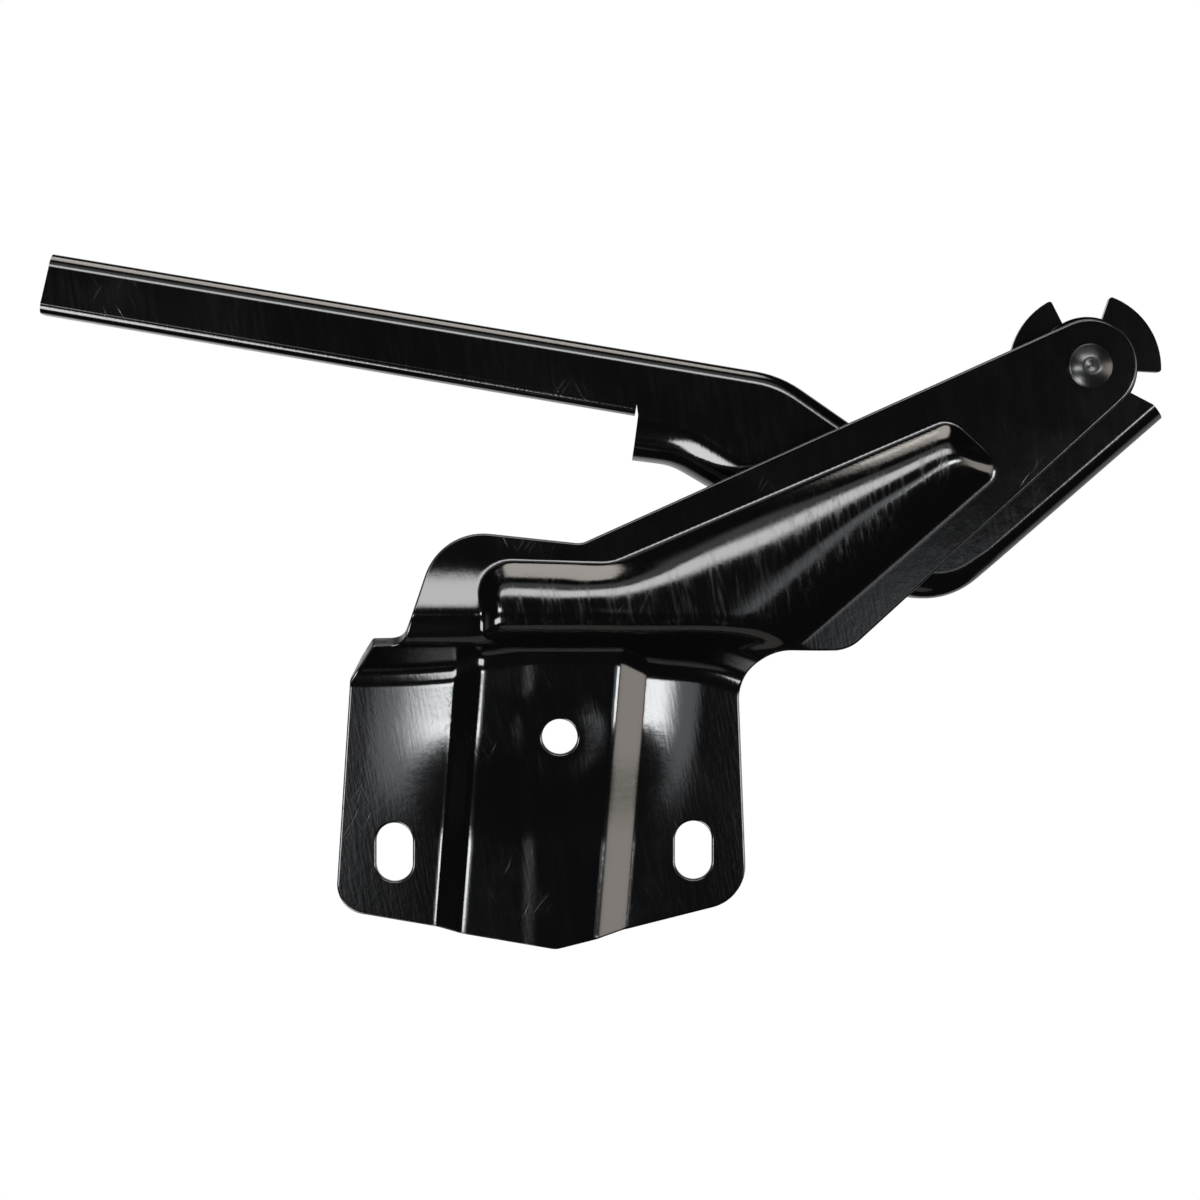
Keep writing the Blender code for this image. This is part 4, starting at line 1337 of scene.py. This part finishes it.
@dataclass
class Studio:
    """The camera of the photograph, a pale table top and the soft lights round the hinge."""

    focal_length: float = 81.0
    sensor: float = 36.0
    camera_place: Triple = (-0.02795, -0.811, 0.04945)
    room_colour: Triple = (0.008, 0.008, 0.009)
    backdrop_edge: float = 10.0
    backdrop_blend: float = 4.0
    backdrop_foot: Pair = (-0.1, 0.0)
    backdrop_top: Pair = (0.45, 0.65)
    floor_centre: Pair = (0.0, -0.05)
    floor_height: float = -0.7
    floor_radius: float = 0.16
    floor_colour: Triple = (0.42, 0.42, 0.41)
    floor_roughness: float = 0.7
    key: SoftBox = SoftBox((-12.0, 14.0), (21.0, 28.0), 5.4, WHITE, (12.0, 12.0), (6.0, 7.0))
    key_skirt: SoftBox = SoftBox((-30.0, 22.0), (24.0, 46.0), 0.45, WHITE, (12.0, 14.0), (8.0, 12.0))
    overhead: SoftBox = SoftBox((-180.0, 180.0), (76.0, 90.0), 3.6, WARM, (0.0, 0.0), (7.0, 0.0))
    upper_left: SoftBox = SoftBox((-116.0, -85.0), (62.0, 90.0), 3.4, PALE_WARM, (5.0, 7.0), (6.0, 0.0))
    right: SoftBox = SoftBox((60.0, 130.0), (-12.0, 8.0), 2.3, DEEP_WARM, (30.0, 5.0), (6.0, 6.0))
    front_right: SoftBox = SoftBox((23.0, 34.0), (-4.5, -1.0), 10.5, PALE_COOL, (10.0, 5.0), (3.0, 2.5))
    right_skirt: SoftBox = SoftBox((8.0, 26.0), (-5.5, -1.0), 1.0, DEEP_COOL, (5.0, 4.0), (3.0, 2.5))
    front_left: SoftBox = SoftBox((-34.0, -22.0), (-4.5, -1.0), 10.5, COOL, (5.0, 12.0), (3.0, 2.5))
    left_skirt: SoftBox = SoftBox((-26.0, -9.0), (-5.5, -1.0), 1.3, DEEP_COOL, (4.0, 5.0), (3.0, 2.5))
    low_left: SoftBox = SoftBox((-54.0, -22.0), (-52.0, -32.0), 7.5, WHITE, (9.0, 7.0), (8.0, 8.0))
    back_right: SoftBox = SoftBox((100.0, 180.0), (-36.0, -12.0), 0.55, COOL, (20.0, 0.0), (12.0, 12.0))
    back_left: SoftBox = SoftBox((-180.0, -100.0), (-36.0, -12.0), 0.55, COOL, (0.0, 20.0), (12.0, 12.0))

    def boxes(self) -> list[SoftBox]:
        """Return the soft lights."""
        return [
            self.key, self.key_skirt, self.overhead, self.upper_left, self.right, self.front_right,
            self.right_skirt, self.front_left, self.left_skirt, self.low_left, self.back_right,
            self.back_left,
        ]

    def camera(self) -> None:
        """Place the camera as the photograph's stands."""
        data = bpy.data.cameras.new("camera")
        data.lens = self.focal_length
        data.sensor_width = self.sensor
        data.clip_start = 0.01
        camera = bpy.data.objects.new("camera", data)
        camera.location = self.camera_place
        camera.rotation_euler = (math.radians(90.0), 0.0, 0.0)
        bpy.context.scene.collection.objects.link(camera)
        bpy.context.scene.camera = camera

    def world(self) -> None:
        """Hang a white backdrop behind the hinge and leave the room in front of it dim.

        The camera sees the backdrop all round, and gloss sees it where it hangs.
        """
        surroundings = bpy.data.worlds.new("studio")
        bpy.context.scene.world = surroundings
        surroundings.use_nodes = True
        tree = surroundings.node_tree
        tree.nodes.clear()
        nodes = Nodes(tree)
        heading = nodes.add("TexCoord").outputs["Generated"]
        axes = nodes.feed(nodes.add("SeparateXYZ"), Vector=heading).outputs
        turn = nodes.math("ARCTAN2", axes["X"], nodes.times(axes["Y"], -1.0))
        azimuth = nodes.times(turn, math.degrees(1.0))
        elevation = nodes.times(nodes.math("ARCSINE", axes["Z"]), math.degrees(1.0))
        light = nodes.add("CombineXYZ")
        nodes.feed(light, X=self.room_colour[0], Y=self.room_colour[1], Z=self.room_colour[2])
        total = light.outputs["Vector"]
        for box in self.boxes():
            total = self.lit(nodes, total, box, azimuth, elevation)
        room = nodes.feed(nodes.add("Background"), Color=total)
        backdrop = nodes.feed(nodes.add("Background"), Color=(1.0, 1.0, 1.0, 1.0))
        rays = nodes.add("LightPath").outputs
        blend = self.backdrop_blend
        edge = [math.sin(math.radians(self.backdrop_edge + turn)) for turn in (-blend, blend)]
        hung = nodes.math("MAXIMUM", rays["Is Glossy Ray"], rays["Is Transmission Ray"])
        hung = nodes.times(hung, nodes.ramp(axes["Y"], *edge))
        hung = nodes.times(hung, nodes.ramp(axes["Z"], *self.backdrop_foot))
        hung = nodes.times(hung, nodes.ramp(axes["Z"], *self.backdrop_top, 1.0, 0.0))
        mix = nodes.add("MixShader")
        tree.links.new(nodes.math("MAXIMUM", rays["Is Camera Ray"], hung), mix.inputs[0])
        tree.links.new(room.outputs[0], mix.inputs[1])
        tree.links.new(backdrop.outputs[0], mix.inputs[2])
        tree.links.new(mix.outputs[0], nodes.add("OutputWorld").inputs["Surface"])

    @staticmethod
    def lit(nodes: Nodes, total: Socket, box: SoftBox, azimuth: Socket, elevation: Socket) -> Socket:
        """Add a soft box to the light of the room.

        Args:
            nodes: The world's tree.
            total: The light so far.
            box: The soft box.
            azimuth: The azimuth that is looked along.
            elevation: The elevation that is looked along.

        Returns:
            The light with the box in it.
        """
        share = None
        for angle, (low, high), (before, after) in (
            (azimuth, box.azimuth, box.azimuth_fade), (elevation, box.elevation, box.elevation_fade),
        ):
            rising = nodes.ramp(angle, low - before, low) if before else 1.0
            falling = nodes.ramp(angle, high, high + after, 1.0, 0.0) if after else 1.0
            across = nodes.times(rising, falling)
            share = across if share is None else nodes.times(share, across)
        face = nodes.add("VectorMath", operation="SCALE")
        nodes.feed(face, Vector=box.colour, Scale=nodes.times(share, box.level))
        added = nodes.add("VectorMath", operation="ADD")
        nodes.tree.links.new(total, added.inputs[0])
        nodes.tree.links.new(face.outputs["Vector"], added.inputs[1])
        return added.outputs["Vector"]

    def floor(self) -> None:
        """Lay a round pale table top under the hinge."""
        Bench.pick(*frame["nodes"].values())
        bpy.ops.object.select_all(action="DESELECT")
        place = (*self.floor_centre, self.floor_height)
        bpy.ops.mesh.primitive_circle_add(
            vertices=128, radius=self.floor_radius, fill_type="NGON", location=place
        )
        floor = bpy.context.active_object
        floor.name = "floor"
        paper = bpy.data.materials.new("pale table top")
        paper.use_nodes = True
        shader = paper.node_tree.nodes["Principled BSDF"]
        shader.inputs["Base Color"].default_value = (*self.floor_colour, 1.0)
        shader.inputs["Roughness"].default_value = self.floor_roughness
        floor.data.materials.append(paper)

    def build(self) -> None:
        """Set up the whole studio."""
        self.camera()
        self.world()
        self.floor()
        bpy.context.scene.view_settings.view_transform = "Standard"


def fit(piece: Piece, body: Body, node: str, slot_name: str, *finishes: bpy.types.Material) -> None:
    """Dress a piece and let it stand for a node.

    Args:
        piece: The finished piece.
        body: The body that it rides on.
        node: The node that it stands for.
        slot_name: The name of a material slot of the record; not used.
        finishes: Its materials, in the order of its slots.
    """
    while len(piece.data.materials) < len(finishes):
        piece.data.materials.append(None)
    for index, finish in enumerate(finishes):
        piece.data.materials[index] = finish
    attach(piece, body.value)
    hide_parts(node)
    LOG.info("%s stands for %s, %d faces", piece.name, node, len(piece.data.polygons))


def main() -> None:
    """Build the studio and every piece, in order."""
    logging.basicConfig(level=logging.INFO, format="%(name)s: %(message)s")
    Bench.pick(*frame["nodes"].values())
    Studio().build()
    edge = BlackCoat("coat on sheared edges", roughness=0.2, streaks=2.0, scuff_cover=0.3, peel=0.03)
    bracket = BlackCoat("gloss black coat")
    arm = BlackCoat("gloss black coat on the arm", streaks=1.4, wear=0.0)
    stop = BlackCoat("coat on the stop plate", roughness=0.1, streaks=0.6, scuff_cover=0.35)
    rivet = BlackCoat("coat on the rivet", (0.006, 0.006, 0.0064), (0.03, 0.03, 0.03), 0.22, peel=0.02)
    zinc = TurnedMetal("zinc-plated steel", (0.5, 0.5, 0.48), (0.3, 0.29, 0.27), 0.26)
    bronze = TurnedMetal("sintered bronze", (0.38, 0.23, 0.1), (0.14, 0.08, 0.04), 0.4, 1800.0, 1.0)
    coat, edge_coat, plating = bracket.material(), edge.material(), zinc.material()
    fit(BracketPressing().build(), Body.BRACKET, "body_bracket", "bracket_paint", coat, edge_coat)
    fit(BonnetArm().build(), Body.ARM, "hood_arm", "arm_paint", arm.material(), edge_coat)
    fit(StopDisc().build(), Body.BRACKET, "stop_disc", "stop_paint", stop.material())
    stack = {
        "pivot_rivet": (Body.BRACKET, "rivet_paint", rivet.material()),
        "pivot_bush": (Body.ARM, "bush_bronze", bronze.material()),
        "thrust_washer": (Body.BRACKET, "washer_steel", plating),
        "rear_washer": (Body.BRACKET, "washer_steel", plating),
    }
    for node, piece in PivotStack().build().items():
        body, slot_name, finish = stack[node]
        fit(piece, body, node, slot_name, finish)


if __name__ == "__main__":
    main()
